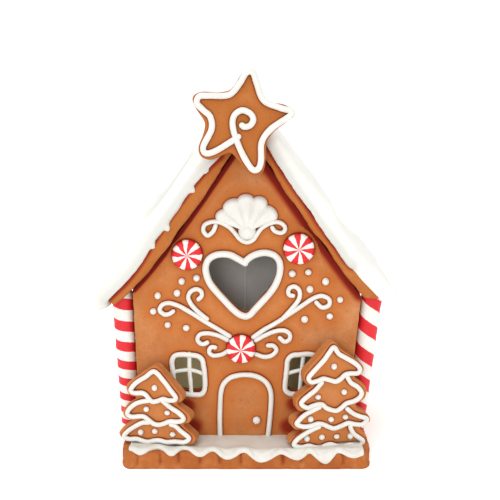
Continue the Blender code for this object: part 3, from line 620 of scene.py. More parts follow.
def paintJointShade(piece):
    """How deep each point lies below the bricks' faces, kept as an attribute for painted shade in the joints
    between them.
    """
    halfX, halfY = plinthHigh.x / mm, plinthHigh.y / mm
    shade = piece.data.attributes.new("paintedJointShade", "FLOAT", "POINT")
    for vertex in piece.data.vertices:
        x, y, z = vertex.co / mm
        inside = min(halfX - abs(x), halfY - abs(y))
        low = inside if 1.2 < z < plinthTop - 1.4 else 0.0
        amount = min(max((low - 0.5) / 0.7, 0.0), 1.0)
        if abs(x) > halfX - 6 and abs(y) > halfY - 6:
            amount = 0.0
        shade.data[vertex.index].value = amount * 0.8


plinthPiece = makePlinth()
paintJointShade(plinthPiece)
finished(plinthPiece, plinthMaterial(), "gingerbread", "base")
print("plinth done")


# ---- walls ----

walls = {
    "foot": {"left": -54.7, "right": 51.4}, "eave": {"left": (-57.5, 86.9), "right": (58.4, 83.6)},
    "panel": 6.0, "side": 5.0, "voxel": 0.52, "backVoxel": 1.1,
    "shade": [(-30.5, 26.0), (-27.0, 14.8), (25.0, 27.0), (21.7, 14.8)],   # painted shade spots behind each notch of the trees
    "wave": 0.45, "dent": 0.10,
    "eaveShadow": {"left": (1.6, 1.5, 0.7), "right": (1.5, 4.0, 0.5)},   # painted shadow under the roof's edge: half width, reach, added darkness
}
roof = {
    "under": {"left": [(0.35, 166.6), (-16.5, 141.9), (-51.0, 89.5), (-66.2, 80.7)],
              "right": [(0.65, 166.6), (15.5, 142.9), (49.3, 95.3), (59.3, 84.2)]},
    "top": {"left": [(0.35, 179.0), (-23.5, 148.0), (-54.2, 93.5), (-69.8, 84.0)],
            "right": [(0.65, 177.2), (19.5, 144.5), (52.5, 98.0), (67.2, 84.3)]},
    "lip": {"left": [(-12.8, 155.5), (-22.1, 146.5), (-30.8, 135.4), (-42.6, 118.9),
                     (-52.2, 103.5), (-59.7, 93.7), (-67.0, 86.5), (-70.2, 83.6)],
            "right": [(7.4, 166.2), (9.6, 163.0), (12.2, 158.4), (16.4, 151.7), (21.2, 144.5),
                      (26.2, 137.3), (31.2, 130.4), (35.4, 123.8), (40.1, 117.4), (44.7, 111.3),
                      (48.9, 105.3), (52.6, 101.4)]},   # where the snow ends on the slabs' front
    "voxel": 0.95,
}
heart = {
    "icing": [(-0.4, 102.3), (1.8, 104.3), (4.5, 105.8), (7.8, 106.7), (11.2, 106.6),
              (14.4, 105.3), (16.5, 102.7), (17.1, 99.6), (16.9, 96.4), (16.2, 93.8),
              (14.7, 90.2), (12.3, 86.5), (9.7, 83.4), (7.0, 80.4), (4.3, 77.4), (2.3, 75.1),
              (0.4, 74.1), (-1.6, 74.3), (-4.3, 75.7), (-7.5, 78.6), (-10.3, 81.7),
              (-13.1, 84.8), (-15.8, 88.0), (-18.2, 91.4), (-19.7, 95.3), (-20.2, 99.3),
              (-18.9, 103.1), (-15.7, 105.4), (-11.6, 106.1), (-7.7, 105.6), (-4.1, 103.7),
              (-2.2, 102.6), (-0.5, 101.6)],
    "hole": [(-0.5, 100.9), (-4.3, 102.5), (-8.0, 104.4), (-11.5, 104.9), (-15.0, 104.2),
             (-18.0, 102.2), (-19.0, 99.2), (-18.6, 95.4), (-17.2, 92.0), (-14.9, 88.7),
             (-12.3, 85.7), (-9.5, 82.6), (-6.6, 79.6), (-3.5, 76.8), (-0.9, 75.5),
             (0.3, 75.3), (1.5, 76.0), (3.3, 78.0), (6.2, 81.2), (8.9, 84.3), (11.3, 87.2),
             (13.6, 90.7), (15.2, 94.5), (15.8, 98.0), (15.8, 100.0), (15.2, 102.2),
             (13.9, 104.0), (11.0, 105.4), (7.9, 105.5), (4.9, 104.7), (2.3, 103.2)],
    "width": 3.5,
}
windows = {
    "left": {"frame": [(-37.6, 46.0), (-37.8, 50.6), (-36.1, 53.3), (-32.4, 53.9), (-28.4, 53.6),
                       (-24.9, 53.1), (-22.5, 51.2), (-21.7, 47.6), (-21.2, 43.4),
                       (-21.2, 36.0), (-23.0, 32.7), (-27.6, 32.4), (-32.0, 33.0),
                       (-35.2, 34.6), (-36.8, 38.0), (-37.3, 42.0)],
             "upright": [(-28.9, 54.0), (-29.0, 45.7), (-28.5, 38.0), (-28.2, 32.8)],
             "cross": [(-37.4, 44.5), (-33.5, 45.1), (-29.0, 45.5), (-24.9, 44.6), (-21.3, 43.0)]},
    "right": {"frame": [(20.5, 43.0), (20.9, 47.5), (21.3, 50.9), (23.5, 53.3), (27.5, 53.8),
                        (31.5, 54.1), (35.0, 53.2), (36.8, 50.2), (37.2, 45.0), (37.2, 38.0),
                        (35.6, 34.0), (31.6, 33.1), (27.5, 32.7), (22.8, 32.9), (20.2, 35.0),
                        (20.1, 39.0)],
              "upright": [(29.4, 54.0), (29.0, 50.3), (28.6, 46.0), (28.2, 41.8), (27.5, 33.0)],
              "cross": [(20.2, 43.4), (24.2, 44.5), (28.6, 45.6), (33.0, 46.9), (37.2, 47.8)]},
    "width": 2.75, "bar": 2.35, "hole": 0.9,
}


def underRoof(x):
    """Height of the walls' sloping top at x."""
    side = "left" if x < 0.5 else "right"
    line = bezierPath(roof["under"][side], 60)
    x = min(x, line[0].x) if side == "left" else max(x, line[0].x)
    for a, b in zip(line, line[1:]):
        if min(a.x, b.x) <= x <= max(a.x, b.x):
            return a.y + (b.y - a.y) * (x - a.x) / (b.x - a.x) - 0.2
    return line[-1].y - 0.2


def gableOutline():
    foot, eave = walls["foot"], walls["eave"]
    low = plinthTop + 0.1
    line = [(foot["left"], low), (foot["right"], low), (eave["right"][0], eave["right"][1])]
    steps = 26
    xs = [eave["right"][0] + (eave["left"][0] - eave["right"][0]) * k / steps
          for k in range(1, steps)]
    line += [(x, underRoof(x)) for x in xs]
    line.append(eave["left"])
    return line


def windowOutline(side, distance=0.0):
    line = smoothPath(windows[side]["frame"], True, 0.6)
    return inwards(line, distance) if distance else line


def makeFrontWall():
    front = cutSlab("frontWall", gableOutline(), wallY, wallY + walls["panel"])
    reach = (wallY - 3, wallY + walls["panel"] + 3)
    cutOut(front, smoothPath(heart["hole"], True, 0.7), *reach)
    for side in ("left", "right"):
        cutOut(front, windowOutline(side, windows["hole"]), *reach)
    softSkin(front, walls["voxel"], 4)
    lumps(front, 22.0, walls["wave"], 4.0)
    lumps(front, 5.0, walls["dent"], 5.0)
    leftEaves = [Vector((x, underRoof(x))) for x in range(-57, 1)]
    rightEaves = [Vector((x, underRoof(x))) for x in range(0, 59)]
    # painted shade spots at each notch of the trees
    notchShade = [(ringOf(x, z, 0.5), 1.5, 4.0) for x, z in walls["shade"]]
    # painted shade round the icing and a painted shadow under the roof's edge
    pressedIn(front, pressed + notchShade + [
        (leftEaves, *walls["eaveShadow"]["left"]), (rightEaves, *walls["eaveShadow"]["right"])], wallY)
    return front


def makeSideWall(side):
    inward = 1 if side == "left" else -1
    foot, (eaveX, eaveZ) = walls["foot"][side], walls["eave"][side]
    low = plinthTop + 0.1
    outline = [(foot, low), (eaveX, eaveZ), (eaveX + inward * walls["side"],
               underRoof(eaveX + inward * walls["side"])), (foot + inward * walls["side"], low)]
    piece = cutSlab(side + "Wall", outline, wallY + walls["panel"] - 0.4,
                    backY - walls["panel"] + 0.4)
    softSkin(piece, walls["backVoxel"], 2)
    lumps(piece, 20.0, walls["wave"], 6.0)
    return piece


backWall = cutSlab("backWall", gableOutline(), backY - walls["panel"], backY)
softSkin(backWall, walls["backVoxel"], 3)
lumps(backWall, 22.0, walls["wave"], 7.0)
finished(backWall, wallClay, "gingerbread", "back_wall")
for side in ("left", "right"):
    finished(makeSideWall(side), wallClay, "gingerbread", side + "_wall")
print("walls done")


# ---- roof slabs ----

def makeRoofSlab(side):
    outline = bezierPath(roof["under"][side], 30) + bezierPath(roof["top"][side], 30)[::-1]
    slab = cutSlab(side + "RoofSlab", outline, *roofY)
    softSkin(slab, roof["voxel"], 3)
    lumps(slab, 13.0, 1.0, 8.0)
    lumps(slab, 3.5, 0.22, 9.0)
    # painted shade: a dark line on the slab's front along the snow's edge; depth 0, so nothing is pressed in
    pressedIn(slab, [(smoothPath(roof["lip"][side]), 1.5, 1.7)], roofY[0], 0.0)
    return slab


for side in ("left", "right"):
    finished(makeRoofSlab(side), cookieClay, "gingerbread", "roof_" + side)
print("roof slabs done")


# ---- snow on the roof ----

snow = {
    "outer": [(-70.2, 78.8), (-73.5, 77.8), (-78.4, 76.6), (-80.9, 80.0), (-78.2, 87.6),
              (-70.8, 95.2), (-62.4, 103.9), (-54.6, 115.4), (-47.2, 126.8), (-39.8, 136.4),
              (-31.0, 148.6), (-24.0, 159.8), (-12.0, 176.8), (-1.0, 184.6), (8.6, 177.4),
              (17.2, 164.0), (31.3, 144.8), (43.6, 128.0), (51.4, 114.6), (59.0, 105.6),
              (67.0, 98.0), (74.2, 89.0), (76.8, 84.9), (75.4, 82.2), (71.4, 82.1),
              (68.2, 82.9)],
    "drips": {"left": (-69.2, 79.9), "right": (67.6, 83.6)},
    "stations": [(-0.4, 0.42, 0.42), (0.5, 0.66, 0.66), (2.0, 0.84, 0.86), (6.0, 0.98, 1.00),
                 (11.0, 0.97, 1.01), (14.5, 0.88, 0.98), (16.8, 0.78, 0.95), (19.0, 0.90, 0.97),
                 (24.0, 1.04, 0.98), (40.0, 1.08, 1.01), (60.0, 1.06, 0.99), (80.0, 1.05, 1.01),
                 (97.0, 1.00, 0.99), (101.0, 0.90, 0.90), (102.8, 0.66, 0.66),
                 (103.4, 0.42, 0.42)],
    "lump": (0.42, 115.0, 8.5, 15.0),                    # rise, height, spread, how far behind
    "shade": {"left": 7.0, "right": 3.4},                # how far the painted shade reaches from the slabs
    # line of the crease behind the front roll, along which the snow gets painted shade
    "fold": [(-26.5, 153.2), (-33.4, 143.6), (-40.4, 133.8), (-48.5, 122.4)],
    "split": 123.0, "grip": 1.0, "around": 260, "along": 100, "voxel": 1.0,
    "nubs": [(-18.9, 148.3, 1.5), (-25.7, 138.9, 1.7), (-38.4, 120.0, 1.6), (-44.7, 110.4, 1.8)],
}


def nearestOn(line, point):
    best = None
    for a, b in zip(line, line[1:]):
        along = b - a
        share = min(max((point - a).dot(along) / along.length_squared, 0.0), 1.0)
        spot = a + along * share
        if best is None or (spot - point).length_squared < (best - point).length_squared:
            best = spot
    return best


def makeSnow():
    lining = [Vector(snow["drips"]["left"])]
    left = bezierPath(roof["top"]["left"], 24)[::-1]
    right = bezierPath(roof["top"]["right"], 24)
    lining += left[:-1] + [Vector((0.5, 178.6))] + right[1:]
    lining.append(Vector(snow["drips"]["right"]))
    outer = evenPath(smoothPath(snow["outer"]), 2.2)
    bases = [nearestOn(lining, point) for point in outer]
    inner = evenPath(lining, 2.2)
    grips = []                                           # the snow grips into the slabs a little
    for k, point in enumerate(inner):
        along = inner[min(k + 1, len(inner) - 1)] - inner[max(k - 1, 0)]
        grips.append(point + Vector((along.y, -along.x)).normalized() * snow["grip"])
    loop = list(zip(inner[::-1], grips[::-1], [True] * len(inner)))
    loop += list(zip(outer, bases, [False] * len(outer)))
    stations = snow["stations"]
    length = stations[-1][0] - stations[0][0]

    def fullness(behind, z):
        for (a, upA, lowA), (b, upB, lowB) in zip(stations, stations[1:]):
            if behind <= b + 1e-6:
                t = (behind - a) / (b - a)
                t = t * t * (3 - 2 * t)
                up, low = upA + (upB - upA) * t, lowA + (lowB - lowA) * t
                break
        blend = min(max((z - snow["split"] + 5) / 10, 0.0), 1.0)
        return low + (up - low) * blend

    def leftLump(behind, x, z):
        rise, middle, spread, begins = snow["lump"]
        if x > 0 or behind < begins:
            return 0.0
        return rise * math.exp(-((z - middle) / spread) ** 2) * min((behind - begins) / 4.0, 1.0)

    def spot(u, v):
        at = u * len(loop)
        i = int(at) % len(loop)
        j = (i + 1) % len(loop)
        share = at - int(at)
        v = 0.5 - 0.5 * math.cos(math.pi * v) if v < 0.5 else v        # finer at the front
        behind = stations[0][0] + length * v
        y = roofY[0] + behind
        pair = []
        for k in (i, j):
            point, base, under = loop[k]
            if under:
                point = point.lerp(base, min(max((behind - 0.4) / 1.6, 0.0), 1.0))
            else:
                point = base + (point - base) * (
                    fullness(behind, point.y) + leftLump(behind, point.x, point.y))
            pair.append(point)
        place = pair[0].lerp(pair[1], share)
        return place.x, y, place.y

    body = skinOver("roofSnow", snow["around"], snow["along"], spot)
    extras = []
    for line in roof["lip"].values():
        extras.append(cord("lip", line, 2.6, roofY[0] + 0.6, flat=0.8, sunk=0.2))
    for x, z, size in snow["nubs"]:
        extras.append(drop("nub", x, z, size * 2, 1.2, roofY[0] + 0.1, 1.2, 0.0))
    piece = joined("roofSnow", [body] + extras)
    softSkin(piece, snow["voxel"], 3)
    lumps(piece, 16.0, 1.0, 12.0)
    lumps(piece, 5.0, 0.3, 13.0)
    shadeSnow(piece)
    return piece


def shadeSnow(piece):
    # painted shade: grey on the snow close to the slabs' front and along the crease behind the front roll
    spots = []
    for side, line in roof["lip"].items():
        spots += [(point, snow["shade"][side]) for point in evenPath(smoothPath(line), 1.0)]
    spots += [(point, None) for point in evenPath(smoothPath(snow["fold"]), 1.0)]
    tree = kdtree.KDTree(len(spots))
    for k, (point, _) in enumerate(spots):
        tree.insert((point.x, point.y, 0.0), k)
    tree.balance()
    shadeMark = piece.data.attributes.new("crease", "FLOAT", "POINT")
    for vertex in piece.data.vertices:
        x, y, z = vertex.co / mm
        behind = y - roofY[0]
        _, k, far = tree.find((x, z, 0.0))
        reach = spots[k][1]
        if reach:
            amount = max(1.0 - max(far - 1.2, 0.0) / reach, 0.0)
            amount *= min(max((9.0 - behind) / 4.0, 0.0), 1.0)
        else:
            amount = max(1.0 - far / 4.0, 0.0) * min(max((behind - 8.0) / 4.0, 0.0), 1.0)
        shadeMark.data[vertex.index].value = amount


finished(makeSnow(), snowClay, "snow", "roof_snow")
print("snow on the roof done")

# ---- icing on the front wall ----

finished(cord("heartIcing", heart["icing"], heart["width"], wallY, seed=2.0), icingClay,
         "icing", "heart_icing")


def makeWindowIcing(side):
    shape = windows[side]
    parts = [cord("frame", windowOutline(side), windows["width"], wallY, closed=True,
                  smooth=False, seed=3.0)]
    parts.append(cord("upright", shape["upright"], windows["bar"], wallY, flat=0.8, sunk=0.5))
    parts.append(cord("cross", shape["cross"], windows["bar"] * 0.92, wallY, flat=0.8, sunk=0.6))
    return joined(side + "WindowIcing", parts)


for side in ("left", "right"):
    finished(makeWindowIcing(side), icingClay, "icing", f"window_{side}_icing")

door = {
    "line": [(-13.5, 10.0), (-13.6, 20.0), (-13.3, 29.0), (-12.9, 33.8), (-11.6, 38.0),
             (-8.5, 41.2), (-4.8, 42.6), (-0.8, 43.1), (3.5, 42.7), (7.3, 41.3), (10.6, 38.6),
             (12.5, 34.5), (12.9, 29.5), (12.5, 22.2), (11.8, 14.1), (11.3, 10.0)],
    "width": 2.7, "knob": (5.4, 18.1),
}
finished(cord("doorIcing", door["line"], door["width"], wallY, seed=5.0), icingClay, "icing",
         "door_icing")
finished(drop("doorKnob", *door["knob"], 4.2, 2.3, wallY, 1.0, 0.0), icingClay, "icing",
         "door_knob")

dots = {
    "spots": [(-32.4, 91.9), (-24.9, 93.6), (-44.6, 84.5), (-34.8, 85.8), (-47.0, 76.3),
              (-39.8, 69.2), (-30.4, 67.6), (23.2, 95.8), (31.3, 96.6), (40.1, 91.8),
              (32.2, 87.8), (47.5, 82.4), (42.4, 73.7), (29.7, 72.1)],
    "width": 3.5, "height": 1.7, "seed": 21,
}
chance = random.Random(dots["seed"])
for i, (x, z) in enumerate(dots["spots"]):
    wide = dots["width"] * chance.uniform(0.94, 1.06)
    piece = drop(f"dot{i + 1}", x, z, wide, dots["height"], wallY, chance.uniform(0.95, 1.15))
    finished(piece, icingClay, "icing", f"dot_{i + 1:02d}")

scrolls = {
    "left_high": [(-8.4, 63.6), (-14.3, 67.3), (-20.3, 70.9), (-26.2, 74.8), (-32.2, 78.5),
                  (-35.5, 80.0), (-39.0, 80.9), (-42.2, 80.0), (-43.6, 77.2), (-41.4, 75.0),
                  (-38.8, 75.2), (-36.9, 76.5)],
    "left_branch": [(-19.8, 72.6), (-22.6, 74.9), (-25.7, 77.8), (-27.9, 80.6), (-29.1, 83.8),
                    (-27.9, 86.7), (-25.0, 88.1), (-22.6, 86.9), (-22.3, 84.6), (-23.9, 82.9)],
    "left_middle": [(-9.6, 61.6), (-12.7, 63.3), (-16.2, 64.5), (-19.9, 65.1), (-23.4, 64.4),
                    (-24.7, 61.9), (-23.3, 59.7), (-21.4, 59.4), (-19.8, 60.2)],
    "left_low": [(-9.8, 55.4), (-11.6, 54.2), (-13.9, 53.5), (-16.8, 53.3), (-18.6, 54.6),
                 (-18.7, 56.5), (-17.5, 57.8), (-15.8, 57.6)],
    "right_high": [(3.6, 63.0), (9.2, 67.0), (15.5, 70.7), (22.4, 75.4), (28.4, 79.6),
                   (33.9, 83.3), (38.2, 84.6), (41.9, 82.8), (41.7, 79.6), (38.3, 78.6),
                   (35.5, 81.1)],
    "right_branch": [(18.0, 72.2), (23.0, 77.8), (26.7, 83.0), (26.9, 87.2), (24.5, 89.4),
                     (21.9, 88.6), (21.2, 86.4), (22.0, 84.9), (23.6, 84.7)],
    "right_middle": [(5.0, 61.4), (9.6, 64.0), (14.7, 66.1), (19.3, 66.5), (22.1, 64.7),
                     (22.1, 61.9), (19.6, 60.6), (17.2, 62.6)],
    "right_low": [(5.2, 53.9), (9.2, 52.6), (13.0, 53.3), (15.5, 56.1), (13.9, 58.5),
                  (11.2, 58.6)],
}
scrollWidth = 2.4
for i, name in enumerate(["left_high", "left_middle", "left_low", "right_high", "right_middle",
                          "right_low"]):
    parts = [cord(name, scrolls[name], scrollWidth, wallY, seed=10.0 + i)]
    branch = name.replace("high", "branch")
    if branch != name:
        parts.append(cord(branch, scrolls[branch], scrollWidth, wallY, seed=20.0 + i))
    label = "scroll" + name.title().replace("_", "")
    finished(joined(label, parts), icingClay, "icing", "scroll_" + name)
print("icing on the front wall done")


# ---- shell over the heart ----

shell = {
    "foot": (0.6, 117.6), "footWidth": 9.2, "footHeight": 4.0, "height": 2.8, "groove": 0.62,
    "petals": [(161.0, 137.0, 17.9, 15.8), (137.0, 106.0, 18.4, 16.3), (106.0, 79.0, 18.8, 16.8),
               (79.0, 53.0, 18.9, 16.6), (53.0, 22.0, 17.8, 15.8)],    # from, to, reach, notch
    "scroll": [(-15.1, 120.4), (-16.4, 117.5), (-19.1, 115.5), (-21.2, 117.9), (-20.6, 120.8),
               (-18.0, 122.2), (-14.9, 122.5), (-11.6, 121.7), (-8.0, 119.5), (-5.5, 116.7),
               (-3.4, 114.1), (-0.9, 112.4), (1.3, 112.2), (3.7, 113.5), (5.5, 116.1),
               (7.6, 119.0), (11.0, 121.3), (14.4, 122.3), (17.4, 121.8), (19.4, 119.8),
               (19.0, 117.6), (17.0, 116.8), (14.3, 117.8), (13.1, 119.4)],
    "scrollWidth": 2.35,
}


def makeShell():
    """Five petals in low relief that run together in a rounded foot."""
    footX, footZ = shell["foot"]
    petals = shell["petals"]

    def spot(u, v):
        angle = petals[0][0] + (petals[-1][1] - petals[0][0]) * v
        for first, last, reach, notch in petals:
            if first >= angle >= last:
                break
        t = (first - angle) / (first - last)
        arch = max(math.sin(math.pi * t), 0.0)
        edge = notch + (reach - notch) * arch ** 0.55
        out = 1.0 - abs(2 * u - 1.0)                 # 0 at the foot, 1 at the rim
        far = edge * (1.0 - (1.0 - out) ** 1.6)
        share = far / edge
        height = -0.2
        if u < 0.5:
            top = shell["height"] * (1.0 + 0.15 * math.sin(math.pi * min(share * 1.3, 1.0)))
            dip = shell["groove"] + (1.0 - shell["groove"]) * min(arch * 1.5, 1.0) ** 0.5
            rim = math.sqrt(max(1.0 - max((share - 0.86) / 0.14, 0.0) ** 2, 0.0))
            height = top * (1.0 - (1.0 - dip) * min(share * 2.2, 1.0)) * rim
        turn = math.radians(angle)
        return footX + far * math.cos(turn), wallY - height, footZ + far * math.sin(turn)

    fan = skinOver("shell", 120, 260, spot)
    rim = [spot(0.5, k / 120) for k in range(121)]
    pressed.append(([Vector((x, z)) for x, _, z in rim], 0.0, 0.7))
    foot = drop("foot", footX, footZ, shell["footWidth"], shell["footHeight"], wallY, 1.0, 0.0)
    piece = joined("shell", [fan, foot])
    softSkin(piece, 0.26, 2)
    lumps(piece, 4.0, 0.12, 14.0)
    return piece


finished(makeShell(), icingClay, "icing", "shell")
finished(cord("shellScroll", shell["scroll"], shell["scrollWidth"], wallY, seed=31.0,
              flat=1.1, sunk=0.1), icingClay, "icing", "shell_scroll")
print("shell done")


# ---- peppermint discs ----

candies = {
    "spots": {"left": (-29.4, 105.9, 7.7), "right": (26.4, 108.9, 7.8),
              "centre": (-2.6, 57.0, 7.4)},
    "height": 5.0, "wedges": 7, "turn": {"left": -0.08, "right": 0.36, "centre": 0.14},
    "curl": 0.12, "red": (0.640, 0.028, 0.036), "white": (0.770, 0.755, 0.710),
}


def candyMaterial(name, x, z, radius, turn):
    """Red and white wedges round the middle, slightly curled."""
    material, nodes, links, shader = newMaterial(name, 0.42)
    coords = nodes.new("ShaderNodeTexCoord").outputs["Object"]
    centred = nodes.new("ShaderNodeMapping")
    centred.inputs["Location"].default_value = (-x * mm, 0.0, -z * mm)
    links.new(coords, centred.inputs["Vector"])
    wobble = nodes.new("ShaderNodeSeparateXYZ")
    links.new(centred.outputs["Vector"], wobble.inputs["Vector"])
    across, up = wobble.outputs["X"], wobble.outputs["Z"]
    angle = mathNode(nodes, links, "ARCTAN2", up, across)
    far = mathNode(nodes, links, "SQRT", mathNode(
        nodes, links, "ADD", mathNode(nodes, links, "MULTIPLY", across, across),
        mathNode(nodes, links, "MULTIPLY", up, up)))
    curl = mathNode(nodes, links, "MULTIPLY", far, candies["curl"] / (radius * mm))
    uneven = noiseNode(nodes, links, coords, 2.2, 2.0)
    curl = mathNode(nodes, links, "ADD", curl, mathNode(nodes, links, "MULTIPLY", uneven, 0.22))
    phase = mathNode(nodes, links, "ADD", mathNode(nodes, links, "ADD", angle, curl), turn)
    phase = mathNode(nodes, links, "MULTIPLY", phase, candies["wedges"] / (2 * math.pi))
    wave = mathNode(nodes, links, "PINGPONG", phase, 0.5)
    edge = nodes.new("ShaderNodeMapRange")
    edge.interpolation_type = "SMOOTHSTEP"
    edge.inputs["From Min"].default_value = 0.215
    edge.inputs["From Max"].default_value = 0.250
    links.new(wave, edge.inputs["Value"])
    tone = mixNode(nodes, links, edge.outputs["Result"], candies["white"], candies["red"])
    fine = noiseNode(nodes, links, coords, 0.9, 3.0)
    tone = mixNode(nodes, links, 0.25, tone, rampNode(
        nodes, links, fine, [(0.3, (0.72, 0.70, 0.68)), (0.6, (1.0, 1.0, 1.0))]), "MULTIPLY")
    links.new(tone, shader.inputs["Base Color"])
    links.new(bumpNode(nodes, links, fine, 0.05), shader.inputs["Normal"])
    return material


def makeCandy(name, x, z, radius, turn):
    """A puffy disc with shallow grooves between its wedges."""
    deselectAll()
    bpy.ops.mesh.primitive_uv_sphere_add(segments=168, ring_count=32, radius=1)
    disc = bpy.context.object
    disc.name = name
    for vertex in disc.data.vertices:
        a, b, c = vertex.co
        far = math.hypot(a, b)
        angle = math.atan2(b, a)
        fat = math.copysign(abs(c) ** 0.72, c)
        phase = (angle + candies["curl"] * far + turn) * candies["wedges"] / (2 * math.pi)
        groove = abs(math.cos(2 * math.pi * phase)) ** 0.35
        groove = 1.0 - 0.045 * (1.0 - groove) * min(far * 1.6, 1.0)
        spread = far ** 0.62 / far if far > 1e-4 else 1.0
        vertex.co = ((x + a * spread * radius * groove) * mm,
                     (wallY - candies["height"] * (0.40 + 0.56 * fat) * groove) * mm,
                     (z + b * spread * radius * groove) * mm)
    bpy.ops.object.mode_set(mode="EDIT")
    bpy.ops.mesh.select_all(action="SELECT")
    bpy.ops.mesh.normals_make_consistent(inside=False)
    bpy.ops.object.mode_set(mode="OBJECT")
    pressed.append((ringOf(x, z, radius - 0.6), 0.5, 0.8))
    return disc


for side, (x, z, radius) in candies["spots"].items():
    turn = candies["turn"][side]
    disc = makeCandy(side + "Candy", x, z, radius, turn)
    finished(disc, candyMaterial(side + "CandyStripes", x, z, radius, turn), "peppermint",
             "candy_" + side)
print("peppermint discs done")

finished(makeFrontWall(), wallClay, "gingerbread", "front_wall")
pressed.clear()
print("front wall done")


# ---- candy canes at the corners ----

canes = {
    "footZ": 10.0, "topZ": {"left": 86.5, "right": 85.2}, "footRadius": 4.75, "topRadius": 5.35,
    "away": 0.5, "setBack": 5.7,
    "first": {"left": 38.4, "right": 38.6},             # height of one red stripe, at the front
    "pitch": {"left": 8.65, "right": 13.6}, "widen": {"left": 0.45, "right": 0.25},
    "slope": {"left": -0.5, "right": 0.45},             # flatter or steeper at the front
    "scallop": 0.16, "red": (0.650, 0.030, 0.040), "white": (0.770, 0.755, 0.710),
}


def caneMaterial():
    """Stripes that wind round a cane, read from its own UV map."""
    material, nodes, links, shader = newMaterial("caneStripes", 0.5)
    coords = nodes.new("ShaderNodeTexCoord")
    parts = nodes.new("ShaderNodeSeparateXYZ")
    links.new(coords.outputs["UV"], parts.inputs["Vector"])
    phase = mathNode(nodes, links, "SUBTRACT", parts.outputs["Y"], parts.outputs["X"])
    uneven = noiseNode(nodes, links, coords.outputs["Object"], 4.0, 3.0)
    phase = mathNode(nodes, links, "ADD", phase,
                     mathNode(nodes, links, "MULTIPLY", uneven, 0.06))
    wave = mathNode(nodes, links, "PINGPONG", phase, 0.5)
    edge = nodes.new("ShaderNodeMapRange")
    edge.interpolation_type = "SMOOTHSTEP"
    edge.inputs["From Min"].default_value = 0.243
    edge.inputs["From Max"].default_value = 0.267
    links.new(wave, edge.inputs["Value"])
    tone = mixNode(nodes, links, edge.outputs["Result"], canes["white"], canes["red"])
    lines = noiseNode(nodes, links, coords.outputs["Object"], 1.1, 4.0)
    tone = mixNode(nodes, links, 0.3, tone, rampNode(
        nodes, links, lines, [(0.3, (0.78, 0.76, 0.74)), (0.6, (1.0, 1.0, 1.0))]), "MULTIPLY")
    links.new(tone, shader.inputs["Base Color"])
    links.new(bumpNode(nodes, links, lines, 0.09), shader.inputs["Normal"])
    return material


def makeCane(side, end):
    out = -1 if side == "left" else 1
    footX, (eaveX, eaveZ) = walls["foot"][side], walls["eave"][side]
    y = wallY + canes["setBack"] if end == "front" else backY - canes["setBack"]
    low, high = canes["footZ"], canes["topZ"][side]
    pitch, widen = canes["pitch"][side], canes["widen"][side]
    rings, around = 150, 48

    def axis(z):
        share = (z - low) / (high - low)
        radius = canes["footRadius"] + (canes["topRadius"] - canes["footRadius"]) * share
        wallX = footX + (eaveX - footX) * (z - plinthTop) / (eaveZ - plinthTop)
        return wallX + out * (radius + canes["away"]), radius

    def turns(z):
        up = z - canes["first"][side]                   # each turn is a little longer than the last
        return 1.22 - (math.sqrt(max(pitch ** 2 + 4 * widen * up, 1.0)) - pitch) / (2 * widen)

    def wound(u):
        return u + canes["slope"][side] * math.sin(2 * math.pi * (u - 0.75)) / (2 * math.pi)

    def spot(u, v):
        z = low + (high - low) * v
        middle, radius = axis(z)
        angle = 2 * math.pi * u
        phase = turns(z) - wound(u)
        swell = abs(math.sin(2 * math.pi * phase))
        radius += canes["scallop"] * (swell - 0.6)
        cap = min(1.0, math.sqrt(max(0.02, (z - low + 0.25) / 1.3)),
                  math.sqrt(max(0.02, (high - z + 0.25) / 1.3)))
        x = middle + radius * cap * math.cos(angle)
        roofLine = min(z, underRoof(min(max(x, -66.0), 59.0)) + 0.5) if z > 70 else z
        return x, y + radius * cap * math.sin(angle), roofLine

    cane = skinOver(side + end.title() + "Cane", around, rings, spot)
    uv = cane.data.uv_layers.active or cane.data.uv_layers.new(name="stripes")
    for face in cane.data.polygons:
        shares = []
        for loop in face.loop_indices:
            x, yy, z = cane.data.vertices[cane.data.loops[loop].vertex_index].co / mm
            middle, _ = axis(z)
            shares.append((math.atan2(yy - y, x - middle) / (2 * math.pi)) % 1.0)
        wrap = max(shares) - min(shares) > 0.5
        for loop, share in zip(face.loop_indices, shares):
            z = cane.data.vertices[cane.data.loops[loop].vertex_index].co.z / mm
            if wrap and share < 0.5:
                share += 1.0
            uv.data[loop].uv = (wound(share), turns(z))
    lumps(cane, 7.0, 0.25, 15.0)
    return cane


caneStripes = caneMaterial()
for side in ("left", "right"):
    for end in ("front", "back"):
        finished(makeCane(side, end), caneStripes, "peppermint", f"cane_{side}_{end}")
print("canes done")


# ---- star on the gable ----

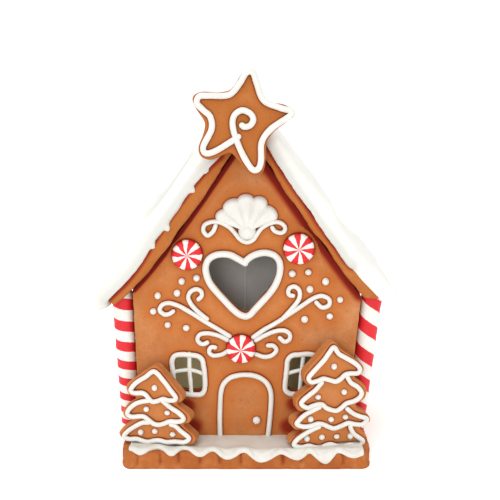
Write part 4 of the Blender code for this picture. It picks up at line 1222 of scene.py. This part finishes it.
star = {
    "outline": [(1.6, 196.6), (-1.4, 195.6), (-4.6, 190.4), (-7.6, 186.9), (-12.5, 185.9),
                (-21.0, 186.0), (-24.8, 184.3), (-25.2, 181.6), (-23.0, 177.2), (-19.8, 171.6),
                (-20.4, 166.1), (-22.6, 160.6), (-22.2, 156.6), (-19.6, 154.5), (-15.6, 154.4),
                (-11.2, 156.4), (-7.6, 157.2), (-3.9, 153.4), (-1.0, 149.3), (2.2, 146.9),
                (5.4, 146.8), (8.0, 148.8), (8.9, 153.0), (9.2, 159.2), (10.2, 163.2),
                (13.2, 167.3), (19.6, 171.8), (22.8, 174.6), (22.4, 177.2), (17.8, 179.8),
                (10.4, 181.7), (7.6, 185.2), (5.9, 190.8), (4.4, 195.4)],
    "icing": [(-4.2, 164.8), (-8.4, 162.1), (-15.3, 158.1), (-19.6, 157.3), (-20.6, 160.5),
              (-16.7, 168.4), (-17.2, 174.1), (-20.5, 177.4), (-23.4, 180.6), (-22.2, 183.7), (-17.6, 184.0),
              (-8.3, 184.4), (-3.2, 189.8), (-0.2, 194.6), (2.9, 194.5), (4.6, 190.0),
              (7.8, 181.9), (15.5, 178.3), (20.3, 176.9), (20.4, 174.7), (11.4, 168.5),
              (6.9, 162.3), (6.5, 153.5), (5.0, 149.6), (2.0, 149.9), (-2.4, 157.1),
              (-5.9, 166.0), (-6.8, 171.9), (-5.4, 175.5), (-2.2, 177.2), (1.4, 175.8),
              (3.0, 173.0), (1.7, 170.3), (-0.9, 169.4), (-2.3, 170.1)],
    "width": 3.1, "thick": 6.5, "pivotZ": 181.0, "lean": 5.0, "turn": 4.0,
}


def placed(piece, x, y, z, turn, lean=0.0):
    """Turns a piece that was made at the origin and puts it in its place."""
    piece.data.transform(Matrix.Translation(Vector((x, y, z)) * mm)
                         @ Matrix.Rotation(math.radians(turn), 4, "Z")
                         @ Matrix.Rotation(math.radians(-lean), 4, "X"))
    return piece


def makeStar():
    y = roofY[0] - 1.4
    place = (0, y, star["pivotZ"], star["turn"], star["lean"])
    drop0 = star["pivotZ"]
    outline = [(p.x, p.y - drop0) for p in smoothPath(star["outline"], True, 0.8)]
    cookie = cutSlab("star", outline, -star["thick"], 0.0)
    roundedEdges(cookie, 1.4, 3, 50)
    softSkin(cookie, 0.45, 3)
    lumps(cookie, 9.0, 0.35, 16.0)
    pressed.clear()
    line = [(x, z - drop0) for x, z in star["icing"]]
    icing = cord("starIcing", line, star["width"], -star["thick"] + 0.1, seed=40.0)
    # painted shade on the star round its icing, where the clay is pressed in
    pressedIn(cookie, pressed, -star["thick"])
    return placed(cookie, *place), placed(icing, *place)


starCookie, starIcing = makeStar()
finished(starCookie, cookieClay, "gingerbread", "star")
finished(starIcing, icingClay, "icing", "star_icing")
print("star done")


# ---- trees ----

trees = {
    "left": {
        "place": (-43.0, wallY - 12.4, -13.0),
        "corners": [(-2.4, 52.2), (-18.6, 40.2), (-17.0, 34.6), (-11.6, 34.0), (-20.6, 27.2),
                    (-19.6, 21.9), (-14.4, 22.0), (-23.2, 14.4), (-21.2, 10.6), (16.6, 10.6),
                    (18.8, 14.4), (10.6, 21.9), (15.4, 22.4), (15.8, 26.6), (7.2, 32.6),
                    (11.6, 33.2), (11.6, 36.6)],
        "icing": [
            [(-2.6, 48.6), (2.2, 44.0), (5.6, 39.6), (8.3, 36.1), (7.7, 34.6), (4.6, 34.1),
             (1.8, 34.6), (-1.0, 33.4), (-3.7, 32.7), (-5.5, 33.9), (-7.5, 36.2), (-9.6, 36.9),
             (-12.8, 36.6), (-15.0, 37.2), (-15.1, 38.6), (-12.2, 42.1), (-7.5, 45.3)],
            [(-6.0, 33.1), (-9.2, 32.4), (-12.8, 30.9), (-15.9, 28.3), (-17.3, 26.0),
             (-17.0, 24.5), (-14.5, 23.8), (-11.2, 24.4), (-8.6, 24.4), (-6.2, 22.9),
             (-3.9, 21.3), (-1.2, 20.7), (1.7, 21.5), (5.3, 23.1), (8.9, 23.2), (11.8, 24.2),
             (12.2, 25.5), (9.9, 27.9), (6.1, 30.1), (3.2, 32.2), (1.4, 33.7)],
            [(-6.2, 21.5), (-9.4, 21.1), (-13.3, 18.9), (-17.4, 15.8), (-19.4, 12.9),
             (-16.8, 11.7), (-13.0, 12.1), (-9.8, 11.4), (-6.8, 11.0), (-3.1, 12.1),
             (-0.4, 12.4), (3.2, 11.8), (7.8, 12.5), (12.5, 12.7), (15.0, 14.6), (14.0, 16.1),
             (11.0, 18.2), (7.9, 20.8), (5.7, 21.4)],
        ],
        "dots": [(-2.9, 39.8), (-7.5, 28.2), (3.6, 27.2), (-10.8, 15.6), (-3.2, 16.8),
                 (6.2, 16.0)],
    },
    "right": {
        "place": (41.0, wallY - 12.8, 12.0),
        "corners": [(2.4, 65.2), (-12.9, 47.8), (-11.4, 41.8), (-7.2, 42.4), (-17.2, 35.2),
                    (-15.4, 28.4), (-9.2, 29.0), (-19.3, 24.2), (-17.8, 19.0), (-10.8, 19.4),
                    (-20.6, 13.4), (-18.4, 10.6), (19.8, 10.6), (21.2, 13.2), (15.6, 18.4),
                    (23.2, 20.0), (22.4, 24.2), (13.4, 29.8), (20.2, 33.2), (20.6, 39.0),
                    (12.8, 45.4), (18.8, 46.6), (18.4, 51.0), (7.4, 58.8)],
        "icing": [
            [(2.5, 61.3), (0.2, 58.8), (-2.1, 55.5), (-5.2, 52.2), (-8.1, 49.2), (-10.3, 46.3),
             (-8.9, 44.1), (-5.7, 44.5), (-2.7, 45.4), (0.5, 44.5), (3.6, 43.5), (6.2, 44.6),
             (8.7, 46.8), (11.9, 47.2), (15.1, 47.1), (16.3, 48.8), (15.2, 50.9), (12.4, 53.2),
             (8.2, 55.8), (5.0, 57.9)],
            [(-3.6, 43.4), (-6.6, 39.9), (-10.0, 37.3), (-13.2, 34.7), (-13.8, 32.8),
             (-10.8, 30.8), (-7.7, 31.7), (-3.5, 32.1), (-0.7, 29.8), (3.9, 28.1), (6.8, 29.3),
             (9.5, 31.5), (13.2, 32.4), (16.0, 33.8), (17.4, 35.9), (17.0, 37.7), (14.9, 40.1),
             (11.7, 42.3), (9.9, 45.2)],
            [(-4.5, 30.7), (-8.1, 29.1), (-11.8, 27.3), (-14.7, 24.8), (-16.2, 22.7),
             (-12.8, 21.1), (-9.1, 21.0), (-5.4, 21.9), (-2.5, 21.4), (0.7, 19.7), (3.5, 18.8),
             (7.4, 19.9), (10.8, 21.0), (14.4, 20.1), (18.3, 19.8), (20.6, 22.4), (16.6, 24.2),
             (13.4, 25.8), (10.1, 28.6)],
            [(-4.7, 20.2), (-8.4, 18.9), (-12.6, 16.7), (-16.1, 14.2), (-17.4, 11.6),
             (-13.7, 10.2), (-9.8, 10.6), (-6.9, 9.6), (-3.7, 8.9), (-1.1, 10.0), (1.5, 10.4),
             (4.2, 9.5), (6.8, 8.6), (10.0, 9.0), (12.1, 9.3), (15.3, 8.6), (18.0, 9.3),
             (18.6, 10.9), (16.9, 12.5), (14.1, 14.7), (12.4, 17.4), (11.9, 19.0)],
        ],
        "dots": [(3.0, 51.1), (8.5, 37.4), (-5.1, 35.7), (-8.8, 24.4), (1.9, 23.4), (9.4, 24.1),
                 (-10.6, 14.2), (-2.8, 14.3), (5.0, 14.0), (12.2, 13.6)],
    },
    "thick": 7.2, "width": 2.5,
}


def makeTree(side):
    tree = trees[side]
    x, y, turn = tree["place"]
    outline = roundedCorners(tree["corners"], 2.6)
    slab = cutSlab(side + "Tree", outline, 0.0, trees["thick"])
    roundedEdges(slab, 1.1, 3, 50)
    softSkin(slab, 0.45, 3)
    lumps(slab, 7.0, 0.35, 17.0)
    pressed.clear()
    for i, line in enumerate(tree["icing"]):
        icing = cord(f"{side}TreeIcing{i + 1}", line, trees["width"], 0.1, closed=i == 0,
                     seed=50.0 + i)
        finished(placed(icing, x, y, 0, turn), icingClay, "icing", f"tree_{side}_icing_{i + 1}")
    drops = [drop("dot", u, z, 3.1, 1.5, 0.05, 1.08 - 0.1 * (i % 3)) for i, (u, z)
             in enumerate(tree["dots"])]
    finished(placed(joined(side + "TreeDots", drops), x, y, 0, turn), icingClay, "icing")
    # painted shade on the tree round its icing and dots, where the clay is pressed in
    pressedIn(slab, pressed, 0.0)
    finished(placed(slab, x, y, 0, turn), treeClay, "gingerbread", "tree_" + side)


for side in ("left", "right"):
    makeTree(side)
print("trees done")


# ---- icing apron round the foot ----

apron = {
    "halfX": 58.8, "thick": 0.9, "body": 1.9, "run": 1.6, "drop": 1.2, "voxel": 0.5,
    "front": [(-58.8, -0.4), (-52.8, 2.2), (-44.4, -2.2), (-37.2, 2.8), (-31.0, -0.8),
              (-23.0, 3.1), (-16.8, 0.4), (-9.2, 4.4), (-1.0, 1.0), (7.6, 6.0), (17.6, 2.0),
              (25.6, 5.0), (31.6, 1.4), (40.0, 6.6), (46.0, 1.4), (53.6, 3.8), (58.8, 2.2)],
    "back": [(-58.8, -1.0), (-50.0, 3.0), (-41.8, 0.2), (-33.5, 4.6), (-24.6, 0.8), (-16.2, 3.2),
             (-8.0, 0.4), (0.6, 5.2), (9.0, 1.0), (17.4, 3.8), (25.8, 0.6), (34.0, 5.4),
             (42.2, 1.0), (50.2, 3.2), (58.8, -1.0)],         # x, how far it hangs over the edge
}


def makeApron(name, nearY, edgeY, wave):
    """Icing poured on the ledge; it turns over the bricks' edge and ends in soft drips."""
    out = 1.0 if edgeY > nearY else -1.0
    run, fall = apron["run"], apron["drop"]
    slope = math.hypot(run, fall)
    ledge = abs(edgeY - nearY) - run                     # flat part, from the wall to the edge

    def reachAt(x):
        for (a, low), (b, high) in zip(wave, wave[1:]):
            if x <= b + 1e-6:
                t = min(max((x - a) / (b - a), 0.0), 1.0)
                t = 0.5 - 0.5 * math.cos(math.pi * t)
                t = t ** 0.8 if high > low else 1.0 - (1.0 - t) ** 0.8
                return low + (high - low) * t
        return wave[-1][1]

    def onSurface(way, away):
        """A point that far along the ledge and down the bricks, and that far off them."""
        over = way - ledge
        turn = min(max((over + 0.8) / (slope + 1.6), 0.0), 1.0)
        turn = turn * turn * (3 - 2 * turn) * math.pi / 2
        if over <= 0:
            y, z = way, plinthTop
        elif over <= slope:
            y, z = ledge + run * over / slope, plinthTop - fall * over / slope
        else:
            y, z = ledge + run, plinthTop - fall - (over - slope)
        return (nearY + out * (y + math.sin(turn) * away), z + math.cos(turn) * away)

    upper = [(k / 16, 1.0) for k in range(14)]           # share of the way, share of thickness
    rim = [(0.90, 1.0), (0.945, 0.92), (0.975, 0.76), (0.993, 0.52), (1.0, 0.2), (0.99, -0.1)]
    under = [(0.9, -0.25), (0.6, -0.25), (0.3, -0.25), (0.0, -0.25)]
    profile = upper + rim + under

    def corner(k, reach):
        share, kind = profile[k % len(profile)]
        whole = ledge + reach
        way = whole * share
        if share > 0.875:                                # the rounded rim keeps its size
            way = whole - (1.0 - share) / 0.125 * 2.4
        swell = min(max((way - whole + 7.0) / 5.0, 0.0), 1.0)
        thick = apron["thick"] + (apron["body"] - apron["thick"]) * swell
        return onSurface(way, thick * kind)

    def spot(u, v):
        x = -apron["halfX"] + 2 * apron["halfX"] * v
        at = u * len(profile)
        i = min(int(at), len(profile) - 1)
        reach = reachAt(x)
        y0, z0 = corner(i, reach)
        y1, z1 = corner(i + 1, reach)
        share = at - i
        return x, y0 + (y1 - y0) * share, z0 + (z1 - z0) * share

    piece = skinOver(name, len(profile) * 4, 320, spot)
    softSkin(piece, apron["voxel"], 4)
    lumps(piece, 12.0, 0.45, 18.0)
    return piece


finished(makeApron("frontApron", wallY, plinthLow.y / mm, apron["front"]), apronClay, "snow",
         "base_snow")
finished(makeApron("backApron", backY, plinthHigh.y / mm, apron["back"]), apronClay, "snow",
         "base_snow_back")
print("icing apron done")


# ---- grey lining inside ----

liningLow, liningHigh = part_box("lining")
lining = {
    "halfX": 45.0, "sideTop": 95.0, "shoulderX": 28.0, "top": 118.0, "thick": 1.6,
    "seamX": -0.5, "seam": 0.3, "seamWidth": 0.5, "crease": [(-14.5, 99.0), (-8.0, 104.5)],
    # low and glow are painted light: a yellower tone and a faint glow lower down the sheet
    "dark": (0.52, 0.52, 0.49), "pale": (0.62, 0.62, 0.59), "low": (0.66, 0.58, 0.33),
    "glow": 0.17,
}


def makeLining():
    """A sheet of grey clay with an upright seam and one faint crease."""
    front = liningHigh.y / mm - lining["thick"]
    low = liningLow.z / mm
    start, end = (Vector(p) for p in lining["crease"])

    def relief(x, z):
        ridge = lining["seam"] * math.exp(-((x - lining["seamX"]) / lining["seamWidth"]) ** 2)
        spot = Vector((x, z))
        away = (spot - nearestOn([start, end], spot)).length
        return ridge + 0.18 * math.exp(-(away / 0.5) ** 2)

    def spot(u, v):
        x = -lining["halfX"] + 2 * lining["halfX"] * v
        over = max(abs(x) - lining["shoulderX"], 0.0)
        share = over / (lining["halfX"] - lining["shoulderX"])
        top = lining["top"] + (lining["sideTop"] - lining["top"]) * share
        if u < 0.9:
            z = low + (top - low) * u / 0.9
            return x, front - relief(x, z), z
        back = liningHigh.y / mm
        return (x, back, top) if u < 0.96 else (x, back, low)

    return skinOver("lining", 130, 420, spot)


def liningMaterial():
    material, nodes, links, shader = newMaterial("liningGrey", 0.62)
    coords = nodes.new("ShaderNodeTexCoord").outputs["Object"]
    patches = noiseNode(nodes, links, coords, 16.0, 4.0)
    tone = rampNode(nodes, links, patches, [(0.3, lining["dark"]), (0.7, lining["pale"])])
    place = nodes.new("ShaderNodeSeparateXYZ")
    links.new(coords, place.inputs["Vector"])
    lower = nodes.new("ShaderNodeMapRange")                  # painted light: yellower and glowing lower down, as if lit through the windows
    lower.inputs["From Min"].default_value = 72.0 * mm
    lower.inputs["From Max"].default_value = 50.0 * mm
    links.new(place.outputs["Z"], lower.inputs["Value"])
    tone = mixNode(nodes, links, lower.outputs["Result"], tone, lining["low"])
    # painted highlight: a paler line along the seam's ridge
    off = mathNode(nodes, links, "ABSOLUTE", mathNode(
        nodes, links, "SUBTRACT", place.outputs["X"], lining["seamX"] * mm))
    line = nodes.new("ShaderNodeMapRange")
    line.inputs["From Min"].default_value = 0.5 * mm
    line.inputs["From Max"].default_value = 0.2 * mm
    links.new(off, line.inputs["Value"])
    seam = mathNode(nodes, links, "MULTIPLY", line.outputs["Result"], 0.5)
    tone = mixNode(nodes, links, seam, tone, (0.80, 0.80, 0.78))
    links.new(tone, shader.inputs["Base Color"])
    links.new(tone, shader.inputs["Emission Color"])
    side = nodes.new("ShaderNodeMapRange")                   # the painted glow fades out at the right end, which lies in the dark
    side.inputs["From Min"].default_value = 30.0 * mm
    side.inputs["From Max"].default_value = 18.0 * mm
    links.new(place.outputs["X"], side.inputs["Value"])
    glow = mathNode(nodes, links, "MULTIPLY", lower.outputs["Result"], lining["glow"])
    links.new(mathNode(nodes, links, "MULTIPLY", glow, side.outputs["Result"]),
              shader.inputs["Emission Strength"])
    links.new(bumpNode(nodes, links, noiseNode(nodes, links, coords, 1.5, 3.0), 0.05),
              shader.inputs["Normal"])
    return material


finished(makeLining(), liningMaterial(), "lining", "lining")
print("lining done")


# ---- floor, light and camera ----

deselectAll()
bpy.ops.mesh.primitive_plane_add(size=6.0)
floor = bpy.context.object
floor.name = "floor"
floorMaterial, floorNodes, floorLinks, floorShader = newMaterial("paleFloor", 0.9)
floorShader.inputs["Base Color"].default_value = (0.96, 0.96, 0.96, 1.0)
floorShader.inputs["Emission Color"].default_value = (1.0, 1.0, 1.0, 1.0)
floorShader.inputs["Emission Strength"].default_value = 0.2
floor.data.materials.append(floorMaterial)

lights = {
    "world": 0.90,
    "key": {"place": (-0.55, -2.3, 0.75), "aim": (0.0, 0.0, 0.09), "size": 0.9, "power": 9.0},
    "top": {"place": (-0.25, -0.45, 1.35), "aim": (0.0, 0.0, 0.05), "size": 0.8, "power": 4.0},
}
world = bpy.data.worlds.new("studio")
bpy.context.scene.world = world
world.use_nodes = True
sky = world.node_tree.nodes["Background"]
sky.inputs["Color"].default_value = (1.0, 1.0, 1.0, 1.0)
sky.inputs["Strength"].default_value = lights["world"]
for name in ("key", "top"):
    spec = lights[name]
    bpy.ops.object.light_add(type="AREA", location=spec["place"])
    lamp = bpy.context.object
    lamp.name = name + "Light"
    lamp.data.shape = "SQUARE"
    lamp.data.size = spec["size"]
    lamp.data.energy = spec["power"]
    aim = Vector(spec["aim"]) - Vector(spec["place"])
    lamp.rotation_euler = aim.to_track_quat("-Z", "Y").to_euler()

camera = {"place": (0.002, -0.5053, 0.1986), "pitch": 11.0, "lens": 68.4}
bpy.ops.object.camera_add(location=camera["place"],
                          rotation=(math.radians(90.0 - camera["pitch"]), 0.0, 0.0))
eye = bpy.context.object
eye.name = "camera"
eye.data.lens = camera["lens"]
eye.data.sensor_width = 36.0
eye.data.clip_start = 0.01
bpy.context.scene.camera = eye
bpy.context.scene.view_settings.view_transform = "Standard"
bpy.context.scene.view_settings.look = "Medium High Contrast"
print("floor, light and camera set")
